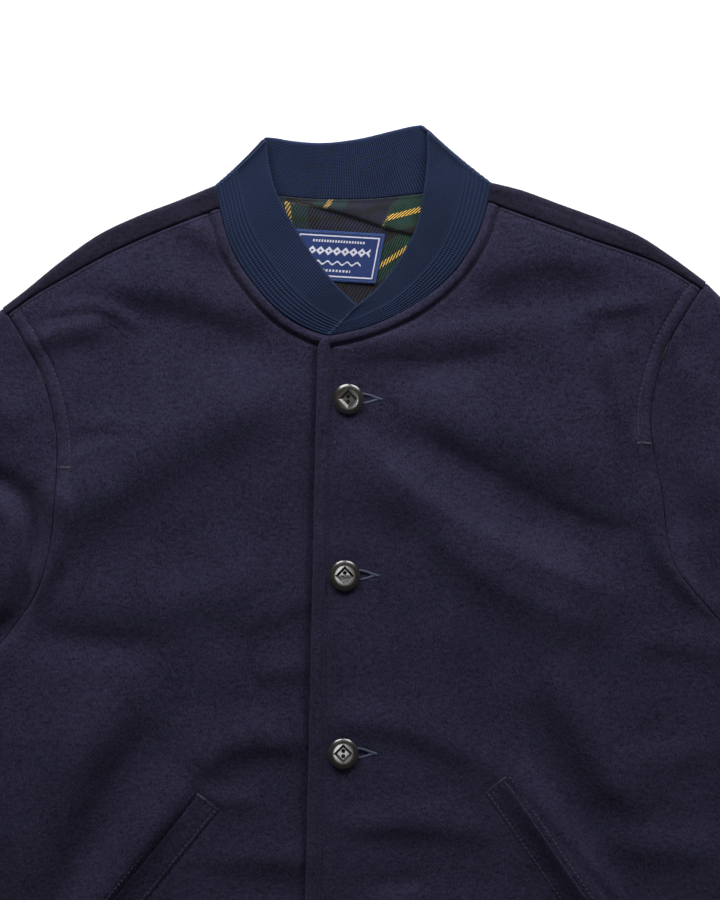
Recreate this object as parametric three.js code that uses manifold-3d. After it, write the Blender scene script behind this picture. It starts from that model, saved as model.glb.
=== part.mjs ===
// Button-front varsity jacket of thick felted wool, laid flat on its back.
// Millimetres, +X to the wearer's left, +Y towards the collar, +Z up from the surface.
// The origin lies on the surface, under the middle of the chest.

import * as THREE from 'three';
import { mergeVertices } from 'three/addons/utils/BufferGeometryUtils.js';
import Module from 'manifold-3d';

const wasm = await Module();
wasm.setup();

// Driving sizes
const GAP = 0.3;               // clearance kept between two pieces
const WALL = 3;                // felted wool with its lining
const SLEEVE_WALL = 2.6;
const RIB_WALL = 3.4;          // doubled rib knit
const TOP = 9.8;               // height of the laid body, both layers
const SLEEVE_TOP = 8.8;
const RIB_TOP = 8.6;
const LAP = 40;                // how far one front lies over the other
const LAP_RISE = 1.7;          // the front on top lifts by this much
const LAP_DROP = 1.9;          // and the front below sinks by this much
const HEM_SEAM_Y = -297;
const HEM_END_Y = -362;
const CUFF_LENGTH = 64;
const SIDE_RADIUS = 3.2;       // roll of the cloth at a folded edge
const COLLAR_RIDGES = 7;       // knitted lines along the collar, next to its seam
const RIDGE_RISE = 0.55;
const BUTTON_RADIUS = 10;
const BUTTON_HEIGHT = 3.4;
const WELT_RISE = 2;
const LINING_WALL = 1.1;
const LABEL_WALL = 1;

// Shoulders: where the back folds over, and the seam in front of the fold.
// From the collar out to the sleeve.
const SHOULDERS = {
  right: [
    { foldX: -84.8, foldY: 269.6, seamX: -80.9, seamY: 254.5 },
    { foldX: -108, foldY: 260, seamX: -102.8, seamY: 246.1 },
    { foldX: -134, foldY: 250, seamX: -128, seamY: 236.2 },
    { foldX: -160, foldY: 237.6, seamX: -153, seamY: 224.7 },
    { foldX: -185, foldY: 219.9, seamX: -178.7, seamY: 210.8 },
    { foldX: -206.2, foldY: 202.5, seamX: -202.2, seamY: 197.2 },
    { foldX: -222.2, foldY: 190.2, seamX: -218.8, seamY: 185.2 },
  ],
  left: [
    { foldX: 96.2, foldY: 271.6, seamX: 93.9, seamY: 258.6 },
    { foldX: 116, foldY: 266.6, seamX: 111, seamY: 252.1 },
    { foldX: 141, foldY: 257.5, seamX: 135.6, seamY: 243.1 },
    { foldX: 168.2, foldY: 247.5, seamX: 162.6, seamY: 233.4 },
    { foldX: 192, foldY: 237.2, seamX: 187, seamY: 225.4 },
    { foldX: 213, foldY: 223.6, seamX: 208.6, seamY: 216.4 },
    { foldX: 235.7, foldY: 206.9, seamX: 232.3, seamY: 201.9 },
  ],
};

// Armhole seams, from the shoulder down to the underarm.
const ARMHOLES = {
  right: [
    { x: -222.2, y: 190.2 }, { x: -209.7, y: 171.7 }, { x: -195, y: 143 },
    { x: -187, y: 108 }, { x: -187, y: 75 }, { x: -189.5, y: 42 },
    { x: -198, y: 8 }, { x: -213, y: -15 }, { x: -231, y: -38 }, { x: -254, y: -66 },
  ],
  left: [
    { x: 235.7, y: 206.9 }, { x: 222, y: 186.5 }, { x: 208.8, y: 161.9 },
    { x: 200.2, y: 130 }, { x: 200.4, y: 102 }, { x: 206.6, y: 70 },
    { x: 210, y: 40 }, { x: 217, y: 18.5 }, { x: 244.4, y: -13.7 }, { x: 274, y: -48 },
  ],
};

// Side seams at the hem.
const HEM_CORNERS = { right: { x: -258, y: HEM_SEAM_Y }, left: { x: 252, y: HEM_SEAM_Y } };

// Collar, front halves: its seam to the front and its free edge, from the neck fold to the end.
const COLLAR_HALVES = {
  right: [
    { seamX: -84.8, seamY: 269.6, edgeX: -50.4, edgeY: 300.6 },
    { seamX: -80.9, seamY: 254.5, edgeX: -48.1, edgeY: 282.8 },
    { seamX: -74.2, seamY: 230.5, edgeX: -43.2, edgeY: 264.4 },
    { seamX: -63, seamY: 210.9, edgeX: -31.9, edgeY: 243.2 },
    { seamX: -46.2, seamY: 191.1, edgeX: -19.2, edgeY: 223.6 },
    { seamX: -27.7, seamY: 178.4, edgeX: -5.2, edgeY: 205.2 },
    { seamX: -8, seamY: 171.6, edgeX: 7, edgeY: 193 },
    { seamX: 12, seamY: 170.6, edgeX: 19, edgeY: 184 },
  ],
  left: [
    { seamX: 96.2, seamY: 271.6, edgeX: 53.4, edgeY: 306.6 },
    { seamX: 93.9, seamY: 258.6, edgeX: 56.4, edgeY: 287 },
    { seamX: 87.1, seamY: 237.6, edgeX: 54.1, edgeY: 265.9 },
    { seamX: 75.2, seamY: 217.9, edgeX: 47, edgeY: 243.2 },
    { seamX: 58.3, seamY: 201, edgeX: 37.2, edgeY: 223.6 },
    { seamX: 37, seamY: 186.9, edgeX: 25, edgeY: 206.2 },
    { seamX: 13.2, seamY: 177.2, edgeX: 16, edgeY: 197 },
    { seamX: -9.6, seamY: 172.2, edgeX: 8.6, edgeY: 190.4 },
  ],
};

// Collar, back half: the same strip seen from its inner face, from the right fold to the left.
const COLLAR_BACK = [
  { seamX: -84.8, seamY: 269.6, edgeX: -50.4, edgeY: 300.6 },
  { seamX: -48, seamY: 263.6, edgeX: -32, edgeY: 298.6 },
  { seamX: -18, seamY: 260.8, edgeX: -12, edgeY: 297.6 },
  { seamX: 16, seamY: 260.9, edgeX: 10, edgeY: 300.4 },
  { seamX: 50, seamY: 264.2, edgeX: 32, edgeY: 304.8 },
  { seamX: 96.2, seamY: 271.6, edgeX: 53.4, edgeY: 306.6 },
];

// Sleeves: upper and lower edge where the sleeve runs straight, and at the cuff.
const SLEEVES = {
  right: {
    upper: [{ x: -222.2, y: 190.2 }, { x: -311, y: 96 }, { x: -428, y: -86 }, { x: -536, y: -270 }],
    lower: [{ x: -254, y: -66 }, { x: -286, y: -107 }, { x: -365, y: -216 }, { x: -447, y: -328 }],
  },
  left: {
    upper: [{ x: 235.7, y: 206.9 }, { x: 322, y: 112 }, { x: 440, y: -72 }, { x: 546, y: -258 }],
    lower: [{ x: 274, y: -48 }, { x: 306, y: -88 }, { x: 380, y: -202 }, { x: 457, y: -318 }],
  },
};

// Folds of the cloth as it lies: a bend through three places, its rise and its half width.
// A rise below zero is a hollow.
const FOLDS = [
  // Wearer's right chest
  { x0: -82, y0: 243, x1: -140, y1: 220, x2: -198, y2: 187, rise: 1.6, reach: 8 },
  { x0: -158, y0: 203, x1: -105, y1: 194, x2: -50, y2: 166, rise: -2.2, reach: 13 },
  { x0: -204, y0: 152, x1: -184, y1: 170, x2: -158, y2: 176, rise: -1.4, reach: 8 },
  { x0: -160, y0: 150, x1: -95, y1: 150, x2: -30, y2: 146, rise: 1.6, reach: 17 },
  { x0: -30, y0: 148, x1: -110, y1: 116, x2: -184, y2: 68, rise: 2.6, reach: 13 },
  { x0: -34, y0: 128, x1: -105, y1: 98, x2: -170, y2: 50, rise: -2.3, reach: 12 },
  { x0: -150, y0: 20, x1: -95, y1: 32, x2: -34, y2: 24, rise: 2.4, reach: 20 },
  { x0: -172, y0: -20, x1: -100, y1: -20, x2: -30, y2: -12, rise: -2.4, reach: 15 },
  { x0: -181, y0: 70, x1: -190, y1: 4, x2: -226, y2: -34, rise: 2.6, reach: 10 },
  { x0: -124, y0: -44, x1: -163, y1: -108, x2: -188, y2: -190, rise: -2.4, reach: 13 },
  { x0: -26, y0: -76, x1: -112, y1: -102, x2: -178, y2: -188, rise: 3, reach: 13 },
  { x0: -28, y0: -98, x1: -66, y1: -108, x2: -96, y2: -132, rise: -2, reach: 10 },
  { x0: -60, y0: -190, x1: -120, y1: -232, x2: -150, y2: -280, rise: 2.2, reach: 16 },
  { x0: -40, y0: -240, x1: -80, y1: -262, x2: -104, y2: -290, rise: -1.8, reach: 12 },
  { x0: -200, y0: -200, x1: -226, y1: -240, x2: -234, y2: -285, rise: 1.8, reach: 14 },
  { x0: -232, y0: -60, x1: -222, y1: -110, x2: -226, y2: -170, rise: 1.8, reach: 14 },
  // Wearer's left chest
  { x0: 106, y0: 244, x1: 160, y1: 228, x2: 212, y2: 205, rise: 1.6, reach: 8 },
  { x0: 84, y0: 200, x1: 136, y1: 214, x2: 186, y2: 205, rise: -1.8, reach: 10 },
  { x0: 0, y0: 155, x1: 54, y1: 157, x2: 100, y2: 168, rise: -1.6, reach: 8 },
  { x0: 40, y0: 138, x1: 90, y1: 128, x2: 140, y2: 108, rise: 1.8, reach: 15 },
  { x0: 40, y0: 121, x1: 110, y1: 88, x2: 194, y2: 48, rise: -2.3, reach: 12 },
  { x0: 12, y0: 118, x1: 80, y1: 54, x2: 186, y2: 4, rise: 3, reach: 13 },
  { x0: 22, y0: 68, x1: 104, y1: 4, x2: 244, y2: -44, rise: -2.4, reach: 14 },
  { x0: 122, y0: -42, x1: 160, y1: -120, x2: 232, y2: -175, rise: -2.4, reach: 13 },
  { x0: 60, y0: -30, x1: 96, y1: -62, x2: 122, y2: -100, rise: 2, reach: 18 },
  { x0: 6, y0: -90, x1: 50, y1: -90, x2: 82, y2: -106, rise: -1.6, reach: 10 },
  { x0: 2, y0: -132, x1: 30, y1: -134, x2: 58, y2: -132, rise: 1.6, reach: 14 },
  { x0: 6, y0: -158, x1: 40, y1: -160, x2: 74, y2: -157, rise: -1.4, reach: 10 },
  { x0: 20, y0: -184, x1: 50, y1: -186, x2: 84, y2: -182, rise: 1.6, reach: 12 },
  { x0: 196, y0: 88, x1: 204, y1: 30, x2: 244, y2: -14, rise: 2.4, reach: 10 },
  { x0: 150, y0: -60, x1: 200, y1: -110, x2: 250, y2: -140, rise: 2.2, reach: 16 },
  { x0: 80, y0: -215, x1: 130, y1: -245, x2: 150, y2: -285, rise: 2.2, reach: 16 },
  { x0: 196, y0: -210, x1: 218, y1: -245, x2: 226, y2: -286, rise: 1.8, reach: 14 },
  // Sleeve heads, elbows and cuffs
  { x0: -232, y0: 72, x1: -198, y1: 40, x2: -234, y2: -18, rise: -2.6, reach: 8 },
  { x0: -262, y0: 96, x1: -248, y1: 30, x2: -262, y2: -12, rise: 2.2, reach: 14 },
  { x0: 211, y0: 140, x1: 214, y1: 96, x2: 216, y2: 56, rise: -2, reach: 8 },
  { x0: 262, y0: 118, x1: 252, y1: 60, x2: 262, y2: 10, rise: 2.2, reach: 14 },
  { x0: -352, y0: 18, x1: -330, y1: -40, x2: -330, y2: -110, rise: 2.4, reach: 15 },
  { x0: -318, y0: 20, x1: -300, y1: -22, x2: -298, y2: -66, rise: -2, reach: 12 },
  { x0: -420, y0: -100, x1: -396, y1: -120, x2: -374, y2: -168, rise: 2.4, reach: 14 },
  { x0: -392, y0: -70, x1: -368, y1: -96, x2: -350, y2: -140, rise: -2, reach: 12 },
  { x0: -500, y0: -228, x1: -468, y1: -226, x2: -436, y2: -252, rise: 2.2, reach: 12 },
  { x0: -476, y0: -196, x1: -448, y1: -200, x2: -420, y2: -222, rise: -1.8, reach: 11 },
  { x0: 362, y0: 30, x1: 340, y1: -26, x2: 342, y2: -98, rise: 2.4, reach: 15 },
  { x0: 330, y0: 34, x1: 312, y1: -10, x2: 310, y2: -58, rise: -2, reach: 12 },
  { x0: 434, y0: -92, x1: 406, y1: -110, x2: 388, y2: -160, rise: 2.4, reach: 14 },
  { x0: 404, y0: -58, x1: 380, y1: -86, x2: 364, y2: -130, rise: -2, reach: 12 },
  { x0: 512, y0: -216, x1: 480, y1: -214, x2: 448, y2: -242, rise: 2.2, reach: 12 },
  { x0: 488, y0: -184, x1: 460, y1: -190, x2: 432, y2: -212, rise: -1.8, reach: 11 },
];

// Slanted pocket welts: the opening's upper and lower end, and the welt's width towards the middle.
const WELTS = {
  right: { topX: -94, topY: -125.8, endX: -198.9, endY: -254.2, acrossX: 13.1, acrossY: -10.4 },
  left: { topX: 103.7, topY: -114.9, endX: 197, endY: -250.6, acrossX: -12.4, acrossY: -10.6 },
};

// Buttons, from the collar down. The last sits on the hem band.
const BUTTONS = [
  { x: 2.8, y: 130.7, tiltX: 2, tiltY: -4 },
  { x: 0.5, y: 16.1, tiltX: 1, tiltY: 2 },
  { x: -0.5, y: -99.6, tiltX: 0, tiltY: 1 },
  { x: -4.2, y: -214.8, tiltX: 1, tiltY: -1 },
  { x: -6.8, y: -329.9, tiltX: 0, tiltY: 1 },
];

// Neck label, seen from above: centre, size and turn.
const LABEL = { x: -5.2, y: 223.6, width: 57.5, height: 32, turn: -0.05 };

// Colours
const WOOL = { color: 0x23212f, roughness: 0.95, metalness: 0 };
const RIB = { color: 0x222a42, roughness: 0.9, metalness: 0 };
const TARTAN = { color: 0x1d3a2c, roughness: 0.85, metalness: 0 };
const WOVEN = { color: 0x27408a, roughness: 0.7, metalness: 0 };
const HORN = { color: 0x191512, roughness: 0.25, metalness: 0 };

// Small helpers

/** Goes smoothly from 0 at low to 1 at high. */
function smooth(low, high, value) {
  const t = THREE.MathUtils.clamp((value - low) / (high - low), 0, 1);
  return t * t * (3 - 2 * t);
}

/** A smooth curve in the plane through the named columns of a table. */
function curveThrough(rows, xKey = 'x', yKey = 'y') {
  return new THREE.SplineCurve(rows.map((row) => new THREE.Vector2(row[xKey], row[yKey])));
}

/** Even places along a curve, both ends included. */
function sample(curve, steps) {
  return Array.from({ length: steps + 1 }, (_, i) => curve.getPointAt(i / steps));
}

/** Moves an open run of places sideways, to its left if distance is above zero. */
function shiftSideways(points, distance) {
  return points.map((point, i) => {
    const before = points[Math.max(i - 1, 0)];
    const after = points[Math.min(i + 1, points.length - 1)];
    const along = after.clone().sub(before).normalize();
    return new THREE.Vector2(point.x - along.y * distance, point.y + along.x * distance);
  });
}

// Height of the laid cloth

const FOLD_STEPS = 8;
const FOLD_FADE = 0.22;        // share of a fold's length over which it dies out
const foldLines = FOLDS.map((fold) => {
  const bend = new THREE.SplineCurve([
    new THREE.Vector2(fold.x0, fold.y0),
    new THREE.Vector2(fold.x1, fold.y1),
    new THREE.Vector2(fold.x2, fold.y2),
  ]);
  return { ...fold, points: bend.getPoints(FOLD_STEPS) };
});

/** Height that one fold adds at a place. */
function foldHeight(fold, x, y) {
  let nearest = Infinity;
  let where = 0;
  for (let i = 0; i < FOLD_STEPS; i += 1) {
    const a = fold.points[i];
    const b = fold.points[i + 1];
    const dx = b.x - a.x;
    const dy = b.y - a.y;
    const share = THREE.MathUtils.clamp(
      ((x - a.x) * dx + (y - a.y) * dy) / (dx * dx + dy * dy), 0, 1);
    const distance = Math.hypot(x - a.x - dx * share, y - a.y - dy * share);
    if (distance < nearest) {
      nearest = distance;
      where = (i + share) / FOLD_STEPS;
    }
  }
  const fade = smooth(0, FOLD_FADE, Math.min(where, 1 - where) + 0.04);
  return fold.rise * fade * Math.exp(-((nearest / fold.reach) ** 2));
}

/** Height that all folds together add at a place, kept clear of the back panel. */
function relief(x, y) {
  const sum = foldLines.reduce((total, fold) => total + foldHeight(fold, x, y), 0);
  return THREE.MathUtils.clamp(sum, -2.4, 4.2);
}

/** Free edge of the front that lies on top. */
function lapEdgeX(y) {
  return -20.2 + 0.0225 * y;
}

const LAP_CALM = 0.7;          // folds lie flatter where both fronts meet

/** Share of the lap at a place: 1 between both free edges, 0 well away from them. */
function lapShare(x, y) {
  const edge = lapEdgeX(y);
  return smooth(edge - 48, edge - 3, x) * (1 - smooth(edge + LAP + 3, edge + LAP + 46, x));
}

/** Top of the body cloth on the named layer at a place. */
function bodyTop(x, y, layer) {
  const lap = lapShare(x, y);
  const folds = relief(x, y) * (1 - LAP_CALM * lap);
  if (layer === 'over') return TOP + folds + LAP_RISE * lap;
  return TOP + folds - LAP_DROP * lap;
}

// Solids from sheets

/** Closes a list of vertices and faces into a geometry whose faces point out. */
function closedGeometry(points, faces) {
  const positions = new Float32Array(points.length * 3);
  points.forEach((point, i) => point.toArray(positions, i * 3));
  const volume = faces.reduce((total, [a, b, c]) => {
    const cross = points[b].clone().cross(points[c]);
    return total + points[a].dot(cross);
  }, 0);
  const ordered = volume < 0 ? faces.map(([a, b, c]) => [a, c, b]) : faces;
  const geometry = new THREE.BufferGeometry();
  geometry.setAttribute('position', new THREE.BufferAttribute(positions, 3));
  geometry.setIndex(ordered.flat());
  geometry.computeVertexNormals();
  return geometry;
}

/** Direction in which a run of evenly spaced points ends at its first named point. */
function endSlope(points, end, next, far) {
  return points[end].clone().multiplyScalar(3)
    .addScaledVector(points[next], -4)
    .add(points[far]);
}

/**
 * A wall of cloth about a grid of middle points. With looped set, each row closes on itself.
 * raised(i, j) lifts the outer face alone. curled names the ends of a row, 'both' or 'last', that
 * are cut square to a curl rather than to its last chord.
 */
function clothWall(grid, wall, { looped = false, curled = '', raised = () => 0 } = {}) {
  const rows = grid.length;
  const columns = grid[0].length;
  const column = (j) => (looped ? (j + columns) % columns : THREE.MathUtils.clamp(j, 0, columns - 1));
  const outer = [];
  const inner = [];
  for (let i = 0; i < rows; i += 1) {
    for (let j = 0; j < columns; j += 1) {
      const down = grid[Math.min(i + 1, rows - 1)][j].clone().sub(grid[Math.max(i - 1, 0)][j]);
      let across = grid[i][column(j + 1)].clone().sub(grid[i][column(j - 1)]);
      if (curled === 'both' && j === 0) across = endSlope(grid[i], 0, 1, 2).negate();
      if (curled && j === columns - 1) across = endSlope(grid[i], j, j - 1, j - 2);
      const normal = across.cross(down).normalize();
      outer.push(grid[i][j].clone().addScaledVector(normal, wall / 2 + raised(i, j)));
      inner.push(grid[i][j].clone().addScaledVector(normal, -wall / 2));
    }
  }
  const points = [...outer, ...inner];
  const far = outer.length;
  const faces = [];
  const at = (i, j) => i * columns + column(j);
  const quad = (a, b, c, d) => faces.push([a, b, c], [a, c, d]);
  const lastColumn = looped ? columns : columns - 1;
  for (let i = 0; i < rows - 1; i += 1) {
    for (let j = 0; j < lastColumn; j += 1) {
      quad(at(i, j), at(i + 1, j), at(i + 1, j + 1), at(i, j + 1));
      quad(far + at(i, j), far + at(i, j + 1), far + at(i + 1, j + 1), far + at(i + 1, j));
    }
    if (!looped) {
      quad(at(i, 0), far + at(i, 0), far + at(i + 1, 0), at(i + 1, 0));
      quad(at(i, columns - 1), at(i + 1, columns - 1), far + at(i + 1, columns - 1),
        far + at(i, columns - 1));
    }
  }
  for (let j = 0; j < lastColumn; j += 1) {
    quad(at(0, j), at(0, j + 1), far + at(0, j + 1), far + at(0, j));
    quad(at(rows - 1, j), far + at(rows - 1, j), far + at(rows - 1, j + 1), at(rows - 1, j + 1));
  }
  return closedGeometry(points, faces);
}

/** A solid for joining and cutting, from a closed geometry. */
function toSolid(geometry) {
  const bare = geometry.clone();
  bare.deleteAttribute('normal');
  bare.deleteAttribute('uv');
  const merged = mergeVertices(bare, 1e-4);
  return new wasm.Manifold(new wasm.Mesh({
    numProp: 3,
    vertProperties: new Float32Array(merged.attributes.position.array),
    triVerts: new Uint32Array(merged.index.array),
  }));
}

/** A geometry from a joined or cut solid. */
function toGeometry(solid) {
  const mesh = solid.getMesh();
  const geometry = new THREE.BufferGeometry();
  geometry.setAttribute('position', new THREE.BufferAttribute(mesh.vertProperties, 3));
  geometry.setIndex(new THREE.BufferAttribute(mesh.triVerts, 1));
  geometry.computeVertexNormals();
  return geometry;
}

/** Cuts a solid back so that it stays clear of its neighbours, and keeps its main body. */
function clearOf(solid, neighbours, clearance = GAP) {
  let rest = solid;
  for (const neighbour of neighbours) {
    for (const [dx, dy] of [[1, 0], [-1, 0], [0, 1], [0, -1]]) {
      rest = rest.subtract(neighbour.translate([dx * clearance, dy * clearance, 0]));
    }
  }
  return rest.decompose().reduce((main, part) => (part.volume() > main.volume() ? part : main));
}

const jacket = new THREE.Group();

/** Adds one named piece. */
function addPiece(name, geometry, finish) {
  const mesh = new THREE.Mesh(geometry, new THREE.MeshStandardMaterial(finish));
  mesh.name = name;
  jacket.add(mesh);
  return mesh;
}

// Seams that two pieces share, sampled once so that both follow the same places

const ARMHOLE_STEPS = 14;
const ARMHOLE_GAP = 0.5;       // a little wider, because the folds tilt both edges
const NECK_STEPS = 7;
const SIDE_STEPS = 13;
const armholes = {};
const necklines = {};
for (const side of ['right', 'left']) {
  const away = side === 'right' ? 1 : -1;
  const armhole = sample(curveThrough(ARMHOLES[side]), ARMHOLE_STEPS);
  armholes[side] = {
    body: shiftSideways(armhole, away * ARMHOLE_GAP / 2),
    sleeve: shiftSideways(armhole, -away * ARMHOLE_GAP / 2),
  };
  const rows = COLLAR_HALVES[side].slice(1);
  const seam = sample(curveThrough(rows, 'seamX', 'seamY'), NECK_STEPS);
  necklines[side] = {
    body: shiftSideways(seam, -away * GAP / 2),
    collar: shiftSideways(seam, away * GAP / 2),
  };
}

const COLLAR_BACK_STEPS = 8;
const COLLAR_RADIUS = (TOP - RIB_WALL) / 2;

/** From the collar's folded outline to the axis of its roll. */
function foldInset(side) {
  const { seamX, seamY, edgeX, edgeY } = COLLAR_HALVES[side][0];
  const along = new THREE.Vector2(edgeX - seamX, edgeY - seamY).normalize();
  const inward = side === 'right' ? new THREE.Vector2(along.y, -along.x)
    : new THREE.Vector2(-along.y, along.x);
  return inward.multiplyScalar(COLLAR_RADIUS + RIB_WALL / 2);
}

/** One long edge of the collar's back half, from the wearer's right to the left. */
function backEdge(xKey, yKey) {
  const curve = curveThrough(COLLAR_BACK, xKey, yKey);
  const spots = curve.getPoints(COLLAR_BACK_STEPS);
  spots[0].add(foldInset('right'));
  spots[COLLAR_BACK_STEPS].add(foldInset('left'));
  return spots;
}

/** The seam of the back panel to the collar. */
function backNeckline() {
  return backEdge('seamX', 'seamY');
}

// Back panel: flat on the surface, curled up to the side seams, and folded over each shoulder

const EDGE_INSET = SIDE_RADIUS + WALL / 2;
const CURL_STEPS = 3;
const SEAM_Z = TOP / 2;

/** Outer ends of the back panel's rows, from the hem to the neck, with how far each edge curls. */
function backRows(side) {
  const rows = [];
  const under = armholes[side].body[ARMHOLE_STEPS];
  const hem = HEM_CORNERS[side];
  for (let i = 0; i <= SIDE_STEPS; i += 2) {
    const share = i / (SIDE_STEPS - 1);
    if (share > 1) break;
    rows.push({
      x: THREE.MathUtils.lerp(hem.x, under.x, share),
      y: THREE.MathUtils.lerp(hem.y + GAP, under.y, share),
      curl: share < 1 ? 1 : 0.4,
    });
  }
  for (let i = ARMHOLE_STEPS - 1; i >= 0; i -= 1) {
    rows.push({ x: armholes[side].body[i].x, y: armholes[side].body[i].y, curl: 0 });
  }
  const shoulder = SHOULDERS[side].slice(1, -1).reverse();
  for (const row of shoulder) {
    const inward = new THREE.Vector2(row.seamX - row.foldX, row.seamY - row.foldY).normalize();
    rows.push({
      x: row.foldX + inward.x * (EDGE_INSET + 0.5),
      y: row.foldY + inward.y * (EDGE_INSET + 0.5),
      curl: 0,
    });
  }
  return rows;
}

const BACK_COLUMNS = 10;

/** The flat of the back panel. */
function backPlate() {
  const rightRows = backRows('right');
  const leftRows = backRows('left');
  const neck = backNeckline();
  const grid = rightRows.map((from, i) => {
    const to = leftRows[i];
    return backRow(from, to);
  });
  const top = [];
  for (let j = 0; j < grid[0].length; j += 1) {
    const share = j / (grid[0].length - 1);
    const step = Math.min(share * (neck.length - 1), neck.length - 1.0001);
    const index = Math.floor(step);
    const spot = neck[index].clone().lerp(neck[index + 1], step - index);
    top.push(new THREE.Vector3(spot.x, spot.y - 1.5 * GAP, WALL / 2));
  }
  grid.push(top);
  return clothWall(grid, WALL, { curled: 'both' });
}

/** One row of the back panel, from the wearer's right to the left. */
function backRow(from, to) {
  const start = new THREE.Vector2(from.x, from.y);
  const end = new THREE.Vector2(to.x, to.y);
  const along = end.clone().sub(start);
  const width = along.length();
  along.normalize();
  const place = (distance, height) => {
    const spot = start.clone().addScaledVector(along, distance);
    return new THREE.Vector3(spot.x, spot.y, height);
  };
  const climb = SEAM_Z - GAP / 2 - WALL / 2;
  const edge = (curl, k) => {
    const angle = (k / CURL_STEPS) * Math.PI / 2;
    const rolled = EDGE_INSET - SIDE_RADIUS * Math.sin(angle);
    const flat = EDGE_INSET * (1 - k / CURL_STEPS);
    return {
      distance: THREE.MathUtils.lerp(flat, rolled, curl),
      height: WALL / 2 + curl * climb * (1 - Math.cos(angle)),
    };
  };
  const row = [];
  for (let k = CURL_STEPS; k > 0; k -= 1) {
    const { distance, height } = edge(from.curl, k);
    row.push(place(distance, height));
  }
  for (let j = 0; j <= BACK_COLUMNS; j += 1) {
    const distance = THREE.MathUtils.lerp(EDGE_INSET, width - EDGE_INSET, j / BACK_COLUMNS);
    row.push(place(distance, WALL / 2));
  }
  for (let k = 1; k <= CURL_STEPS; k += 1) {
    const { distance, height } = edge(to.curl, k);
    row.push(place(width - distance, height));
  }
  return row;
}

const SHOULDER_STEPS = 9;
const WRAP_ROOT = 14;          // how far the fold's lower leg reaches into the flat panel

/** The fold of the back over one shoulder, from inside the flat panel up to the shoulder seam. */
function shoulderWrap(side) {
  const fold = curveThrough(SHOULDERS[side], 'foldX', 'foldY');
  const seam = curveThrough(SHOULDERS[side], 'seamX', 'seamY');
  const radius = (TOP - WALL) / 2;
  const inset = radius + WALL / 2;
  const grid = [];
  for (let i = 0; i <= SHOULDER_STEPS; i += 1) {
    const share = THREE.MathUtils.lerp(0.003, 0.995, i / SHOULDER_STEPS);
    const outerSpot = fold.getPoint(share);
    const seamSpot = seam.getPoint(share);
    const inward = seamSpot.clone().sub(outerSpot);
    const depth = inward.length();
    inward.normalize();
    const place = (distance, height) => new THREE.Vector3(
      outerSpot.x + inward.x * distance, outerSpot.y + inward.y * distance, height);
    const row = [place(WRAP_ROOT, WALL / 2), place(inset, WALL / 2)];
    for (const degrees of [36, 72, 108, 144, 180]) {
      const angle = THREE.MathUtils.degToRad(degrees);
      row.push(place(inset - radius * Math.sin(angle), WALL / 2 + radius * (1 - Math.cos(angle))));
    }
    const end = Math.max(depth - GAP / 2, inset + 0.4);
    row.push(place((inset + end) / 2, TOP - WALL / 2));
    row.push(place(end, TOP - WALL / 2));
    grid.push(row);
  }
  return clothWall(grid, WALL);
}

const backSolid = toSolid(backPlate())
  .add(toSolid(shoulderWrap('right')))
  .add(toSolid(shoulderWrap('left')));
addPiece('back', toGeometry(backSolid), WOOL);

// Fronts: from the shoulder seam down, between the neckline or free edge and the armhole or side

const FRONT_SHARES = [0, 0.02, 0.08, 0.17, 0.26, 0.35, 0.44, 0.53, 0.62, 0.71, 0.8, 0.89, 1];

/** Inner ends of a front's rows, from the shoulder seam to the hem. */
function frontInnerEnds(side) {
  const neck = [...necklines[side].body];
  const ends = neck.map((spot) => ({ x: spot.x, y: spot.y }));
  const shift = side === 'right' ? LAP : 0;
  const top = ends[ends.length - 1];
  const underarmY = armholes[side].body[ARMHOLE_STEPS].y;
  const free = ARMHOLE_STEPS - NECK_STEPS;
  const cornerY = top.y - 4;
  for (let i = 1; i <= free; i += 1) {
    const y = THREE.MathUtils.lerp(cornerY, underarmY, i / free);
    ends.push({ x: lapEdgeX(y) + shift, y });
  }
  for (let i = 1; i <= SIDE_STEPS; i += 1) {
    const y = THREE.MathUtils.lerp(underarmY, HEM_SEAM_Y + GAP, i / SIDE_STEPS);
    ends.push({ x: lapEdgeX(y) + shift, y });
  }
  return ends;
}

/** Outer ends of a front's rows, with how far the edge curls down to the side seam. */
function frontOuterEnds(side) {
  const ends = armholes[side].body.map((spot) => ({ x: spot.x, y: spot.y, curl: 0 }));
  const under = ends[ARMHOLE_STEPS];
  under.curl = 0.4;
  const hem = HEM_CORNERS[side];
  for (let i = 1; i <= SIDE_STEPS; i += 1) {
    const share = i / SIDE_STEPS;
    ends.push({
      x: THREE.MathUtils.lerp(under.x, hem.x, share),
      y: THREE.MathUtils.lerp(under.y, hem.y + GAP, share),
      curl: 1,
    });
  }
  return ends;
}

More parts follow.
